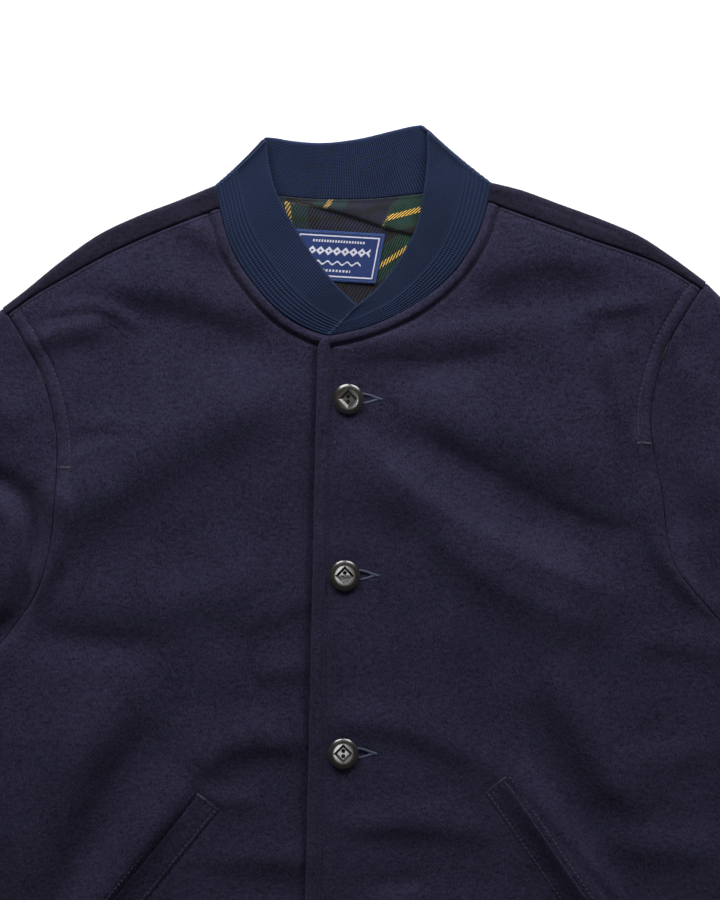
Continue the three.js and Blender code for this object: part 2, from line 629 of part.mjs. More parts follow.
/** The middle surface of one front, as rows of points. */
function frontGrid(side) {
  const layer = side === 'left' ? 'over' : 'under';
  const inner = frontInnerEnds(side);
  const outer = frontOuterEnds(side);
  const shoulder = curveThrough(SHOULDERS[side], 'seamX', 'seamY');
  return inner.map((from, i) => {
    const to = outer[i];
    const start = new THREE.Vector2(from.x, from.y);
    const along = new THREE.Vector2(to.x, to.y).sub(start);
    const width = along.length();
    along.normalize();
    const place = (distance) => start.clone().addScaledVector(along, distance);
    const row = FRONT_SHARES.map((share) => {
      let spot = place(share * (width - EDGE_INSET));
      if (i === 0) spot = shoulder.getPoint(share * (1 - EDGE_INSET / width));
      if (i === 0) spot.y -= GAP;
      return new THREE.Vector3(spot.x, spot.y, bodyTop(spot.x, spot.y, layer) - WALL / 2);
    });
    for (let k = 1; k <= CURL_STEPS; k += 1) {
      const angle = (k / CURL_STEPS) * Math.PI / 2;
      const rolled = EDGE_INSET - SIDE_RADIUS * Math.sin(angle);
      const flat = EDGE_INSET * (1 - k / CURL_STEPS);
      let spot = place(width - THREE.MathUtils.lerp(flat, rolled, to.curl));
      if (i === 0) spot = shoulder.getPoint(1 - flat / width);
      if (i === 0) spot.y -= GAP;
      const height = bodyTop(spot.x, spot.y, layer) - WALL / 2;
      const drop = (height - SEAM_Z - GAP / 2) * (1 - Math.cos(angle)) * to.curl;
      row.push(new THREE.Vector3(spot.x, spot.y, height - drop));
    }
    return row;
  });
}

const frontSolids = {};
for (const side of ['right', 'left']) {
  const geometry = clothWall(frontGrid(side), WALL, { curled: 'last' });
  frontSolids[side] = toSolid(geometry);
  addPiece(`front_${side}`, geometry, WOOL);
}

// Sleeves: flattened tubes from the armhole to the cuff

const SLEEVE_STATIONS = [0, 0.03, 0.08, 0.15, 0.23, 0.32, 0.42, 0.52, 0.62, 0.72, 0.82, 0.92, 1];
const HEAD_LENGTH = 0.34;      // share of the sleeve over which the armhole's bend evens out
const SLEEVE_TURNS = 3;        // steps round each folded edge
const SLEEVE_END_Z = 8.4;

/** Top of the sleeve cloth at a place, as high as the body at the armhole. */
function sleeveTop(x, y, share) {
  const base = THREE.MathUtils.lerp(TOP, SLEEVE_TOP, smooth(0, 0.3, share));
  const end = THREE.MathUtils.lerp(base, SLEEVE_END_Z, smooth(0.85, 1, share));
  return end + relief(x, y) * (1 - smooth(0.94, 1, share));
}

/** The middle surface of one sleeve, as closed rings from the armhole to the cuff. */
function sleeveRings(side) {
  const upper = curveThrough(SLEEVES[side].upper);
  const lower = curveThrough(SLEEVES[side].lower);
  const seam = armholes[side].sleeve;
  const half = SLEEVE_WALL / 2;
  return SLEEVE_STATIONS.map((share) => {
    const high = upper.getPointAt(share);
    const low = lower.getPointAt(share);
    const bend = Math.max(0, 1 - share / HEAD_LENGTH) ** 2;
    const across = (w) => {
      const straight = high.clone().lerp(low, w);
      const step = w * ARMHOLE_STEPS;
      const index = Math.min(Math.floor(step), ARMHOLE_STEPS - 1);
      const onSeam = seam[index].clone().lerp(seam[index + 1], step - index);
      const base = seam[0].clone().lerp(seam[ARMHOLE_STEPS], w);
      return straight.add(onSeam.sub(base).multiplyScalar(bend));
    };
    const width = high.distanceTo(low);
    const inset = (SIDE_RADIUS + half) / width;
    const ring = [];
    for (let j = 0; j <= ARMHOLE_STEPS; j += 1) {
      const w = THREE.MathUtils.clamp(j / ARMHOLE_STEPS, inset, 1 - inset);
      const spot = across(w);
      ring.push(new THREE.Vector3(spot.x, spot.y, sleeveTop(spot.x, spot.y, share) - half));
    }
    const turn = (edgeShare, from, to) => {
      for (let k = 1; k < SLEEVE_TURNS; k += 1) {
        const angle = (k / SLEEVE_TURNS) * Math.PI;
        const push = (SIDE_RADIUS * Math.sin(angle)) / width;
        const spot = across(edgeShare === 0 ? inset - push : 1 - inset + push);
        const height = (from + to) / 2 + ((from - to) / 2) * Math.cos(angle);
        ring.push(new THREE.Vector3(spot.x, spot.y, height));
      }
    };
    turn(1, ring[ring.length - 1].z, half);
    for (let j = ARMHOLE_STEPS; j >= 0; j -= 1) {
      const w = THREE.MathUtils.clamp(j / ARMHOLE_STEPS, inset, 1 - inset);
      const spot = across(w);
      ring.push(new THREE.Vector3(spot.x, spot.y, half));
    }
    turn(0, half, ring[0].z);
    return ring;
  });
}

for (const side of ['right', 'left']) {
  const tube = toSolid(clothWall(sleeveRings(side), SLEEVE_WALL, { looped: true }));
  addPiece(`sleeve_${side}`, toGeometry(clearOf(tube, [backSolid, frontSolids[side]])), WOOL);
}

// Cuffs: shorter flattened tubes of rib knit beyond the sleeves

const CUFF_STATIONS = 3;
const CUFF_DRAW_IN = 0.86;     // width of the cuff against the sleeve's end
const CUFF_RADIUS = 2.2;
const CUFF_GAP = 0.5;

/** The middle surface of one cuff, as closed rings. */
function cuffRings(side) {
  const upper = curveThrough(SLEEVES[side].upper);
  const lower = curveThrough(SLEEVES[side].lower);
  const high = upper.getPointAt(1);
  const low = lower.getPointAt(1);
  const middle = high.clone().add(low).multiplyScalar(0.5);
  const across = low.clone().sub(high);
  const width = across.length();
  across.normalize();
  const onward = new THREE.Vector2(-Math.abs(across.y), -Math.abs(across.x));
  if (side === 'left') onward.x *= -1;
  const half = RIB_WALL / 2;
  const rings = [];
  for (let i = 0; i <= CUFF_STATIONS; i += 1) {
    const share = i / CUFF_STATIONS;
    const reach = THREE.MathUtils.lerp(0.97, CUFF_DRAW_IN, smooth(0, 0.5, share)) * width / 2;
    const inset = CUFF_RADIUS + half;
    const centre = middle.clone().addScaledVector(onward, CUFF_GAP + CUFF_LENGTH * share);
    const top = RIB_TOP - half;
    const place = (distance, height) => {
      const spot = centre.clone().addScaledVector(across, distance);
      return new THREE.Vector3(spot.x, spot.y, height);
    };
    const ring = [];
    const flat = reach - inset;
    for (let j = 0; j <= 8; j += 1) ring.push(place(-flat + (2 * flat * j) / 8, top));
    for (let k = 1; k < SLEEVE_TURNS; k += 1) {
      const angle = (k / SLEEVE_TURNS) * Math.PI;
      ring.push(place(flat + CUFF_RADIUS * Math.sin(angle),
        (top + half) / 2 + ((top - half) / 2) * Math.cos(angle)));
    }
    for (let j = 8; j >= 0; j -= 1) ring.push(place(-flat + (2 * flat * j) / 8, half));
    for (let k = 1; k < SLEEVE_TURNS; k += 1) {
      const angle = (k / SLEEVE_TURNS) * Math.PI;
      ring.push(place(-flat - CUFF_RADIUS * Math.sin(angle),
        (top + half) / 2 - ((top - half) / 2) * Math.cos(angle)));
    }
    rings.push(ring);
  }
  return rings;
}

for (const side of ['right', 'left']) {
  addPiece(`cuff_${side}`, clothWall(cuffRings(side), RIB_WALL, { looped: true }), RIB);
}

// Hem band: one strip from the free edge below, round the back, to the free edge on top

const HEM_FRONT_STEPS = 12;
const HEM_BACK_STEPS = 14;
const HEM_SHARES = [0, 0.5, 1];
const HEM_DRAW_IN = 4;

/** The middle surface of the hem band, as rows along the strip. */
function hemRows() {
  const half = RIB_WALL / 2;
  const topY = HEM_SEAM_Y - GAP;
  const radius = (RIB_TOP - RIB_WALL) / 2;
  const endX = { right: lapEdgeX(topY) + LAP, left: lapEdgeX(topY) };
  const sideX = {
    right: HEM_CORNERS.right.x + HEM_DRAW_IN + radius + half,
    left: HEM_CORNERS.left.x - HEM_DRAW_IN - radius - half,
  };
  const level = (x, y, layer) => {
    const lap = lapShare(x, y);
    return RIB_TOP - half + (layer === 'over' ? LAP_RISE + 0.2 : 0.2 - LAP_DROP) * lap;
  };
  const line = (x, height) => HEM_SHARES.map((w) => {
    const y = THREE.MathUtils.lerp(topY, HEM_END_Y, w);
    return new THREE.Vector3(x, y, typeof height === 'number' ? height : height(x, y));
  });
  const rows = [];
  for (let i = 0; i <= HEM_FRONT_STEPS; i += 1) {
    const x = THREE.MathUtils.lerp(endX.right, sideX.right, i / HEM_FRONT_STEPS);
    rows.push(line(x, (px, py) => level(px, py, 'under')));
  }
  for (let k = 1; k < 5; k += 1) {
    const angle = (k / 5) * Math.PI;
    rows.push(line(sideX.right - radius * Math.sin(angle), half + radius * (1 + Math.cos(angle))));
  }
  for (let i = 0; i <= HEM_BACK_STEPS; i += 1) {
    rows.push(line(THREE.MathUtils.lerp(sideX.right, sideX.left, i / HEM_BACK_STEPS), half));
  }
  for (let k = 1; k < 5; k += 1) {
    const angle = (k / 5) * Math.PI;
    rows.push(line(sideX.left + radius * Math.sin(angle), half + radius * (1 - Math.cos(angle))));
  }
  for (let i = 0; i <= HEM_FRONT_STEPS; i += 1) {
    const x = THREE.MathUtils.lerp(sideX.left, endX.left, i / HEM_FRONT_STEPS);
    rows.push(line(x, (px, py) => level(px, py, 'over')));
  }
  return rows;
}

addPiece('hem_band', clothWall(hemRows(), RIB_WALL), RIB);

// Collar: one strip from the hidden end below, round the back of the neck, to the end on top

const COLLAR_FOLD_STEPS = 5;
const COLLAR_DOME = 1.2;       // how far the strip swells between its long edges
const COLLAR_EDGE_LIFT = 0.9;
const COLLAR_LAP_RISE = 2.55;
const COLLAR_LAP_DROP = 1.65;
const HIDDEN_ROWS = 3;         // rows of the lower end that the upper end covers

/** Shares across the strip: close together over the knitted lines, wide apart beyond them. */
function collarShares() {
  const lines = COLLAR_RIDGES * 2;
  const shares = [];
  for (let k = 0; k <= lines; k += 1) shares.push((k / lines) * 0.44);
  return [...shares, 0.6, 0.76, 0.9, 0.965, 1];
}

const COLLAR_SHARES = collarShares();

/** One row across a front half of the collar. */
function collarFrontRow(side, seamSpot, edgeSpot, along) {
  const layer = side === 'left' ? 'over' : 'under';
  const half = RIB_WALL / 2;
  const nearFold = smooth(0.2, 0, along);
  return COLLAR_SHARES.map((w) => {
    const x = THREE.MathUtils.lerp(seamSpot.x, edgeSpot.x, w);
    const y = THREE.MathUtils.lerp(seamSpot.y, edgeSpot.y, w);
    const lap = smooth(0.62, 0.86, along);
    const offset = (layer === 'over' ? COLLAR_LAP_RISE : -COLLAR_LAP_DROP) * lap;
    const swell = (COLLAR_DOME * Math.sin(Math.PI * w) + COLLAR_EDGE_LIFT * w) * (1 - nearFold)
      * (1 - 0.85 * lap);
    return new THREE.Vector3(x, y, TOP - half + offset + swell);
  });
}

/** The middle surface of the collar, as rows along the strip. */
function collarRows() {
  const half = RIB_WALL / 2;
  const front = {};
  for (const side of ['right', 'left']) {
    const table = COLLAR_HALVES[side];
    const edge = curveThrough(table.slice(1), 'edgeX', 'edgeY');
    const seamSpots = [new THREE.Vector2(table[0].seamX, table[0].seamY), ...necklines[side].collar];
    const edgeSpots = [new THREE.Vector2(table[0].edgeX, table[0].edgeY), ...sample(edge, NECK_STEPS)];
    front[side] = seamSpots.map((spot, i) => {
      const outward = i === 0 ? foldInset(side) : new THREE.Vector2();
      return collarFrontRow(side, spot.clone().add(outward), edgeSpots[i].clone().add(outward),
        i / (seamSpots.length - 1));
    });
  }
  const seamSpots = backNeckline();
  const edgeSpots = backEdge('edgeX', 'edgeY');
  const back = seamSpots.map((spot, i) => COLLAR_SHARES.map((w) => new THREE.Vector3(
    THREE.MathUtils.lerp(spot.x, edgeSpots[i].x, w),
    THREE.MathUtils.lerp(spot.y, edgeSpots[i].y, w), half)));
  return [
    ...front.right.slice().reverse(),
    ...collarTurn('right').reverse(),
    ...back,
    ...collarTurn('left'),
    ...front.left,
  ];
}

/** Rows round one side fold, from the back layer up to the front layer. */
function collarTurn(side) {
  const { seamX, seamY, edgeX, edgeY } = COLLAR_HALVES[side][0];
  const inward = foldInset(side);
  const seam = new THREE.Vector2(seamX, seamY).add(inward);
  const edge = new THREE.Vector2(edgeX, edgeY).add(inward);
  const outward = inward.clone().negate().normalize();
  const rows = [];
  for (let k = 1; k < COLLAR_FOLD_STEPS; k += 1) {
    const angle = (k / COLLAR_FOLD_STEPS) * Math.PI;
    const push = COLLAR_RADIUS * Math.sin(angle);
    const height = TOP / 2 - COLLAR_RADIUS * Math.cos(angle);
    rows.push(COLLAR_SHARES.map((w) => new THREE.Vector3(
      THREE.MathUtils.lerp(seam.x, edge.x, w) + outward.x * push,
      THREE.MathUtils.lerp(seam.y, edge.y, w) + outward.y * push, height)));
  }
  return rows;
}

/** Rise of the knitted lines on the collar's outer face. */
function collarLine(i, j) {
  if (j > COLLAR_RIDGES * 2 || i < HIDDEN_ROWS) return 0;
  return j % 2 === 1 ? RIDGE_RISE : 0;
}

addPiece('collar', clothWall(collarRows(), RIB_WALL, { raised: collarLine }), RIB);

// Pocket welts: strips that follow the front, moved out from it

const WELT_SHARES_LONG = 13;
const WELT_SHARES_WIDE = [0, 0.2, 0.8, 1];
const WELT_ROUNDING = 0.5;     // how much lower its long edges are
const DEPTH_IN_CLOTH = 1.2;    // how far the uncut strip reaches into the cloth under it

/** Height of one front at a place. */
function frontTop(side, x, y) {
  return bodyTop(x, y, side === 'left' ? 'over' : 'under');
}

/** A strip that lies on a piece, cut to that piece's own surface with the usual clearance. */
function laidOn(grid, below, rise) {
  const wall = rise + DEPTH_IN_CLOTH + GAP;
  const middle = (rise - DEPTH_IN_CLOTH + GAP) / 2;
  const lifted = grid.map((row) => row.map((point) => point.clone().setZ(point.z + middle)));
  const strip = toSolid(clothWall(lifted, wall));
  return strip.subtract(below.translate([0, 0, GAP])).decompose()
    .reduce((main, part) => (part.volume() > main.volume() ? part : main));
}

/** One pocket welt. */
function weltSolid(side) {
  const welt = WELTS[side];
  const grid = [];
  for (let i = 0; i <= WELT_SHARES_LONG; i += 1) {
    const t = i / WELT_SHARES_LONG;
    grid.push(WELT_SHARES_WIDE.map((w) => {
      const x = THREE.MathUtils.lerp(welt.topX, welt.endX, t) + welt.acrossX * w;
      const y = THREE.MathUtils.lerp(welt.topY, welt.endY, t) + welt.acrossY * w;
      const edge = w === 0 || w === 1 ? WELT_ROUNDING : 0;
      return new THREE.Vector3(x, y, frontTop(side, x, y) - edge);
    }));
  }
  return laidOn(grid, frontSolids[side], WELT_RISE);
}

for (const side of ['right', 'left']) {
  addPiece(`pocket_welt_${side}`, toGeometry(weltSolid(side)), WOOL);
}

// Lining: the part that shows inside the neck, lying on the back panel

const LINING_ROWS = [
  { y: 259.6, fromX: -40, toX: 48 },
  { y: 256, fromX: -62, toX: 72 },
  { y: 244, fromX: -64, toX: 76 },
  { y: 230, fromX: -61, toX: 74 },
  { y: 214, fromX: -50, toX: 62 },
  { y: 200, fromX: -38, toX: 46 },
  { y: 188, fromX: -22, toX: 28 },
  { y: 180, fromX: -8, toX: 12 },
];
const LINING_COLUMNS = 7;
const LINING_Z = WALL + GAP;
const LINING_CREASE = { fromX: -34, fromY: 262, toX: 16, toY: 246, rise: 0.8, reach: 6 };

/** Height of the lining's lower face over the back panel. */
function liningLift(x, y) {
  const { fromX, fromY, toX, toY, rise, reach } = LINING_CREASE;
  const run = Math.hypot(toX - fromX, toY - fromY);
  const offset = ((x - fromX) * (toY - fromY) - (y - fromY) * (toX - fromX)) / run;
  const along = ((x - fromX) * (toX - fromX) + (y - fromY) * (toY - fromY)) / (run * run);
  const fade = smooth(-0.2, 0.2, along) * (1 - smooth(0.8, 1.2, along));
  return rise * fade * Math.exp(-((offset / reach) ** 2)) * smooth(260, 252, y);
}

const liningGrid = LINING_ROWS.map(({ y, fromX, toX }) => {
  const row = [];
  for (let j = 0; j <= LINING_COLUMNS; j += 1) {
    const x = THREE.MathUtils.lerp(fromX, toX, j / LINING_COLUMNS);
    row.push(new THREE.Vector3(x, y, LINING_Z + LINING_WALL / 2 + 0.1 + liningLift(x, y)));
  }
  return row;
});
const liningGeometry = clothWall(liningGrid, LINING_WALL);
addPiece('lining', liningGeometry, TARTAN);

// Label: a woven patch on the lining

const LABEL_STEPS = 6;
const labelGrid = [];
for (let i = 0; i <= LABEL_STEPS; i += 1) {
  const row = [];
  for (let j = 0; j <= LABEL_STEPS; j += 1) {
    const across = (j / LABEL_STEPS - 0.5) * LABEL.width;
    const up = (0.5 - i / LABEL_STEPS) * LABEL.height;
    const x = LABEL.x + across * Math.cos(LABEL.turn) - up * Math.sin(LABEL.turn);
    const y = LABEL.y + across * Math.sin(LABEL.turn) + up * Math.cos(LABEL.turn);
    const under = LINING_Z + 0.1 + liningLift(x, y) + LINING_WALL;
    row.push(new THREE.Vector3(x, y, under + GAP + LABEL_WALL / 2));
  }
  labelGrid.push(row);
}
addPiece('label', clothWall(labelGrid, LABEL_WALL), WOVEN);

// Buttons: a raised rim, a lower face with a square set on its corner, and two holes

const BUTTON_SIDES = 20;
const HOLE_RADIUS = 1.3;
const HOLE_SPACING = 3.4;
const RECESS_SIDE = 6.2;
const RECESS_DEPTH = 0.5;
const SHANK = 0.3;             // thread between the button and the cloth

/** A button with its back at height 0. */
function buttonSolid() {
  const profile = [
    [0, 0], [7.4, 0], [9.2, 0.8], [BUTTON_RADIUS, 1.9], [9.5, 2.9], [8.5, BUTTON_HEIGHT],
    [7.5, 3], [6.6, 2.3], [0, 2.2],
  ].map(([radius, height]) => new THREE.Vector2(radius, height));
  const disc = new THREE.LatheGeometry(profile, BUTTON_SIDES);
  disc.rotateX(Math.PI / 2);
  let solid = toSolid(disc);
  const recess = new THREE.BoxGeometry(RECESS_SIDE, RECESS_SIDE, 2 * RECESS_DEPTH);
  recess.rotateZ(Math.PI / 4).translate(0, 0, 2.2);
  solid = solid.subtract(toSolid(recess));
  for (const end of [-1, 1]) {
    const hole = new THREE.CylinderGeometry(HOLE_RADIUS, HOLE_RADIUS, 8, 10);
    hole.rotateX(Math.PI / 2).translate(0, (end * HOLE_SPACING) / 2, 1);
    solid = solid.subtract(toSolid(hole));
  }
  return solid;
}

/** Highest point of the cloth under a button. */
function clothUnder(x, y) {
  if (y < HEM_SEAM_Y) return RIB_TOP + LAP_RISE + 0.2;
  let top = 0;
  for (let k = 0; k < 16; k += 1) {
    const angle = (k / 16) * 2 * Math.PI;
    for (const radius of [0, BUTTON_RADIUS * 0.6, BUTTON_RADIUS]) {
      top = Math.max(top, bodyTop(x + radius * Math.cos(angle), y + radius * Math.sin(angle), 'over'));
    }
  }
  return top;
}

BUTTONS.forEach(({ x, y, tiltX, tiltY }, i) => {
  const button = addPiece(`button_${i + 1}`, toGeometry(buttonSolid()), HORN);
  const tilt = Math.hypot(THREE.MathUtils.degToRad(tiltX), THREE.MathUtils.degToRad(tiltY));
  const lift = SHANK + 0.25 + 7.4 * Math.sin(tilt);
  button.position.set(x, y, clothUnder(x, y) + lift);
  button.rotation.set(THREE.MathUtils.degToRad(tiltX), THREE.MathUtils.degToRad(tiltY), 0);
});

export default jacket;
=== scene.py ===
"""Button-front varsity jacket of thick felted wool, laid flat on its back.

Sizes are in millimetres, +X to the wearer's left, +Y to the collar and +Z up. Meshes are in metres.
"""

import logging
import math
from dataclasses import dataclass, field
from enum import Enum

import bpy
import numpy as np
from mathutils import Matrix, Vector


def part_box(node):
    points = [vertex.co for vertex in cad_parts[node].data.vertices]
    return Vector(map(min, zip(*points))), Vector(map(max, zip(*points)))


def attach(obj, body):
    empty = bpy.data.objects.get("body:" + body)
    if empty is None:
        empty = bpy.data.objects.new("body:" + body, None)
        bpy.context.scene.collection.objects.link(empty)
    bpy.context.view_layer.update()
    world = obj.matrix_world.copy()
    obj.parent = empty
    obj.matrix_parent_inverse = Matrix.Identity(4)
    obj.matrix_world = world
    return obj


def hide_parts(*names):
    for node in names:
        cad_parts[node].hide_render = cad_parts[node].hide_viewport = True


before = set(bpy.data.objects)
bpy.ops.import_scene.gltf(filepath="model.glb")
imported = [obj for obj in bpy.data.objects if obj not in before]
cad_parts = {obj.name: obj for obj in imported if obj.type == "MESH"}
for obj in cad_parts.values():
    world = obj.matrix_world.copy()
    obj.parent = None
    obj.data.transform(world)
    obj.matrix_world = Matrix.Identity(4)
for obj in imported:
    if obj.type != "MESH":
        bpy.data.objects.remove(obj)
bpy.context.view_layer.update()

LOG = logging.getLogger("jacket")
Array = np.ndarray
MM = 0.001

# Sizes that the pieces share
WALL = 3.0
SLEEVE_WALL = 2.6
RIB_WALL = 3.4
TOP = 9.8            # top of the laid body where it is smooth
SLEEVE_TOP = 8.8     # top of a sleeve past its head
SLEEVE_END = 8.4     # top of a sleeve at the cuff
RIB_TOP = 8.6
LAP_EDGE_X = -20.2   # free edge of the front on top, level with the origin
LAP_EDGE_SLANT = 0.0225
LAP = 40.0           # how far the fronts overlap
LAP_RISE = 1.7       # how much higher the front on top lies there
LAP_DROP = 1.9       # how much lower the front below lies there
HEM_SEAM_Y = -297.0
HEM_END_Y = -362.0
SIDE_RADIUS = 3.2    # of the cloth's turn at a side
SEAM_Z = TOP / 2     # height of the side seams
RIB_PITCH = 1.45
RIM_STEPS = 4        # steps round a wall's border
LINED_KNIT = 19.8    # width of the collar's knit with dotted lines, from its seam
PLAIN_KNIT = 100.0   # moves the collar's back half away from those lines on the flat knit


class Side(Enum):
    """A side of the wearer's."""

    RIGHT = "right"
    LEFT = "left"


class Facing(Enum):
    """Where the outer face of a sheet looks."""

    UP = "up"
    DOWN = "down"
    OUT = "out"


# Shoulders, from the collar out: fold x, fold y, seam x, seam y
SHOULDERS = {
    Side.RIGHT: (
        (-84.8, 269.6, -80.9, 254.5), (-108, 260, -102.8, 246.1), (-134, 250, -128, 236.2),
        (-160, 237.6, -153, 224.7), (-185, 219.9, -178.7, 210.8), (-206.2, 202.5, -202.2, 197.2),
        (-222.2, 190.2, -218.8, 185.2),
    ),
    Side.LEFT: (
        (96.2, 271.6, 93.9, 258.6), (116, 266.6, 111, 252.1), (141, 257.5, 135.6, 243.1),
        (168.2, 247.5, 162.6, 233.4), (192, 237.2, 187, 225.4), (213, 223.6, 208.6, 216.4),
        (235.7, 206.9, 232.3, 201.9),
    ),
}

# Armhole seams, from the shoulder down to the underarm: x, y
ARMHOLES = {
    Side.RIGHT: (
        (-222.2, 190.2), (-209.7, 171.7), (-195, 143), (-187, 108), (-187, 75),
        (-189.5, 42), (-198, 8), (-213, -15), (-231, -38), (-254, -66),
    ),
    Side.LEFT: (
        (235.7, 206.9), (222, 186.5), (208.8, 161.9), (200.2, 130), (200.4, 102),
        (206.6, 70), (210, 40), (217, 18.5), (244.4, -13.7), (274, -48),
    ),
}

HEM_CORNERS = {Side.RIGHT: (-258, HEM_SEAM_Y), Side.LEFT: (252, HEM_SEAM_Y)}

# Collar, front halves from the neck fold to the end: seam x, seam y, edge x, edge y
COLLAR_HALVES = {
    Side.RIGHT: (
        (-84.6, 266.3, -49.9, 299.2), (-80.9, 254.5, -48.3, 282.8), (-74.2, 230.5, -43.2, 264.4),
        (-63, 210.9, -31.9, 243.2), (-46.2, 191.1, -19.2, 223.6), (-27.7, 178.4, -5.2, 205.2),
        (-8, 171.6, 7, 193), (12, 170.6, 19, 184),
    ),
    Side.LEFT: (
        (96.4, 268.3, 53.4, 303.8), (93.9, 258.6, 53.6, 287), (87.1, 237.6, 51.5, 266.5),
        (75.2, 217.9, 47, 243.2), (58.3, 201, 37.2, 223.6), (37, 186.9, 25, 206.2),
        (13.2, 177.2, 16, 197), (-9.6, 172.2, 8.6, 190.4),
    ),
}

# Collar, back half from the right fold to the left: seam x, seam y, edge x, edge y
COLLAR_BACK = (
    (-84.6, 266.3, -48.4, 301.8), (-48, 263.6, -32, 298.6), (-18, 260.8, -12, 297.6),
    (16, 260.9, 10, 300.4), (50, 264.2, 32, 305.8), (96.4, 268.3, 47.8, 309.9),
)

# Sleeves, from the shoulder to the cuff: upper x, upper y, lower x, lower y
SLEEVES = {
    Side.RIGHT: (
        (-222.2, 190.2, -254, -66), (-311, 96, -286, -107), (-428, -86, -365, -216),
        (-536, -270, -447, -328),
    ),
    Side.LEFT: (
        (235.7, 206.9, 274, -48), (322, 112, 306, -88), (440, -72, 380, -202),
        (546, -258, 457, -318),
    ),
}

# Pocket welts: opening's top x, y and end x, y, and the width towards the middle x, y
WELTS = {
    Side.RIGHT: (-94, -125.8, -198.9, -254.2, 13.1, -10.4),
    Side.LEFT: (103.7, -114.9, 197, -250.6, -12.4, -10.6),
}

# Buttons from the collar down: x, y, tilt about x and tilt about y in degrees
BUTTONS = (
    (2.8, 130.7, 2, -4), (0.5, 16.1, 2.4, 1), (-0.5, -99.6, 0, 1), (-4.2, -214.8, 1, -1),
    (-6.8, -329.9, 0, 1),
)

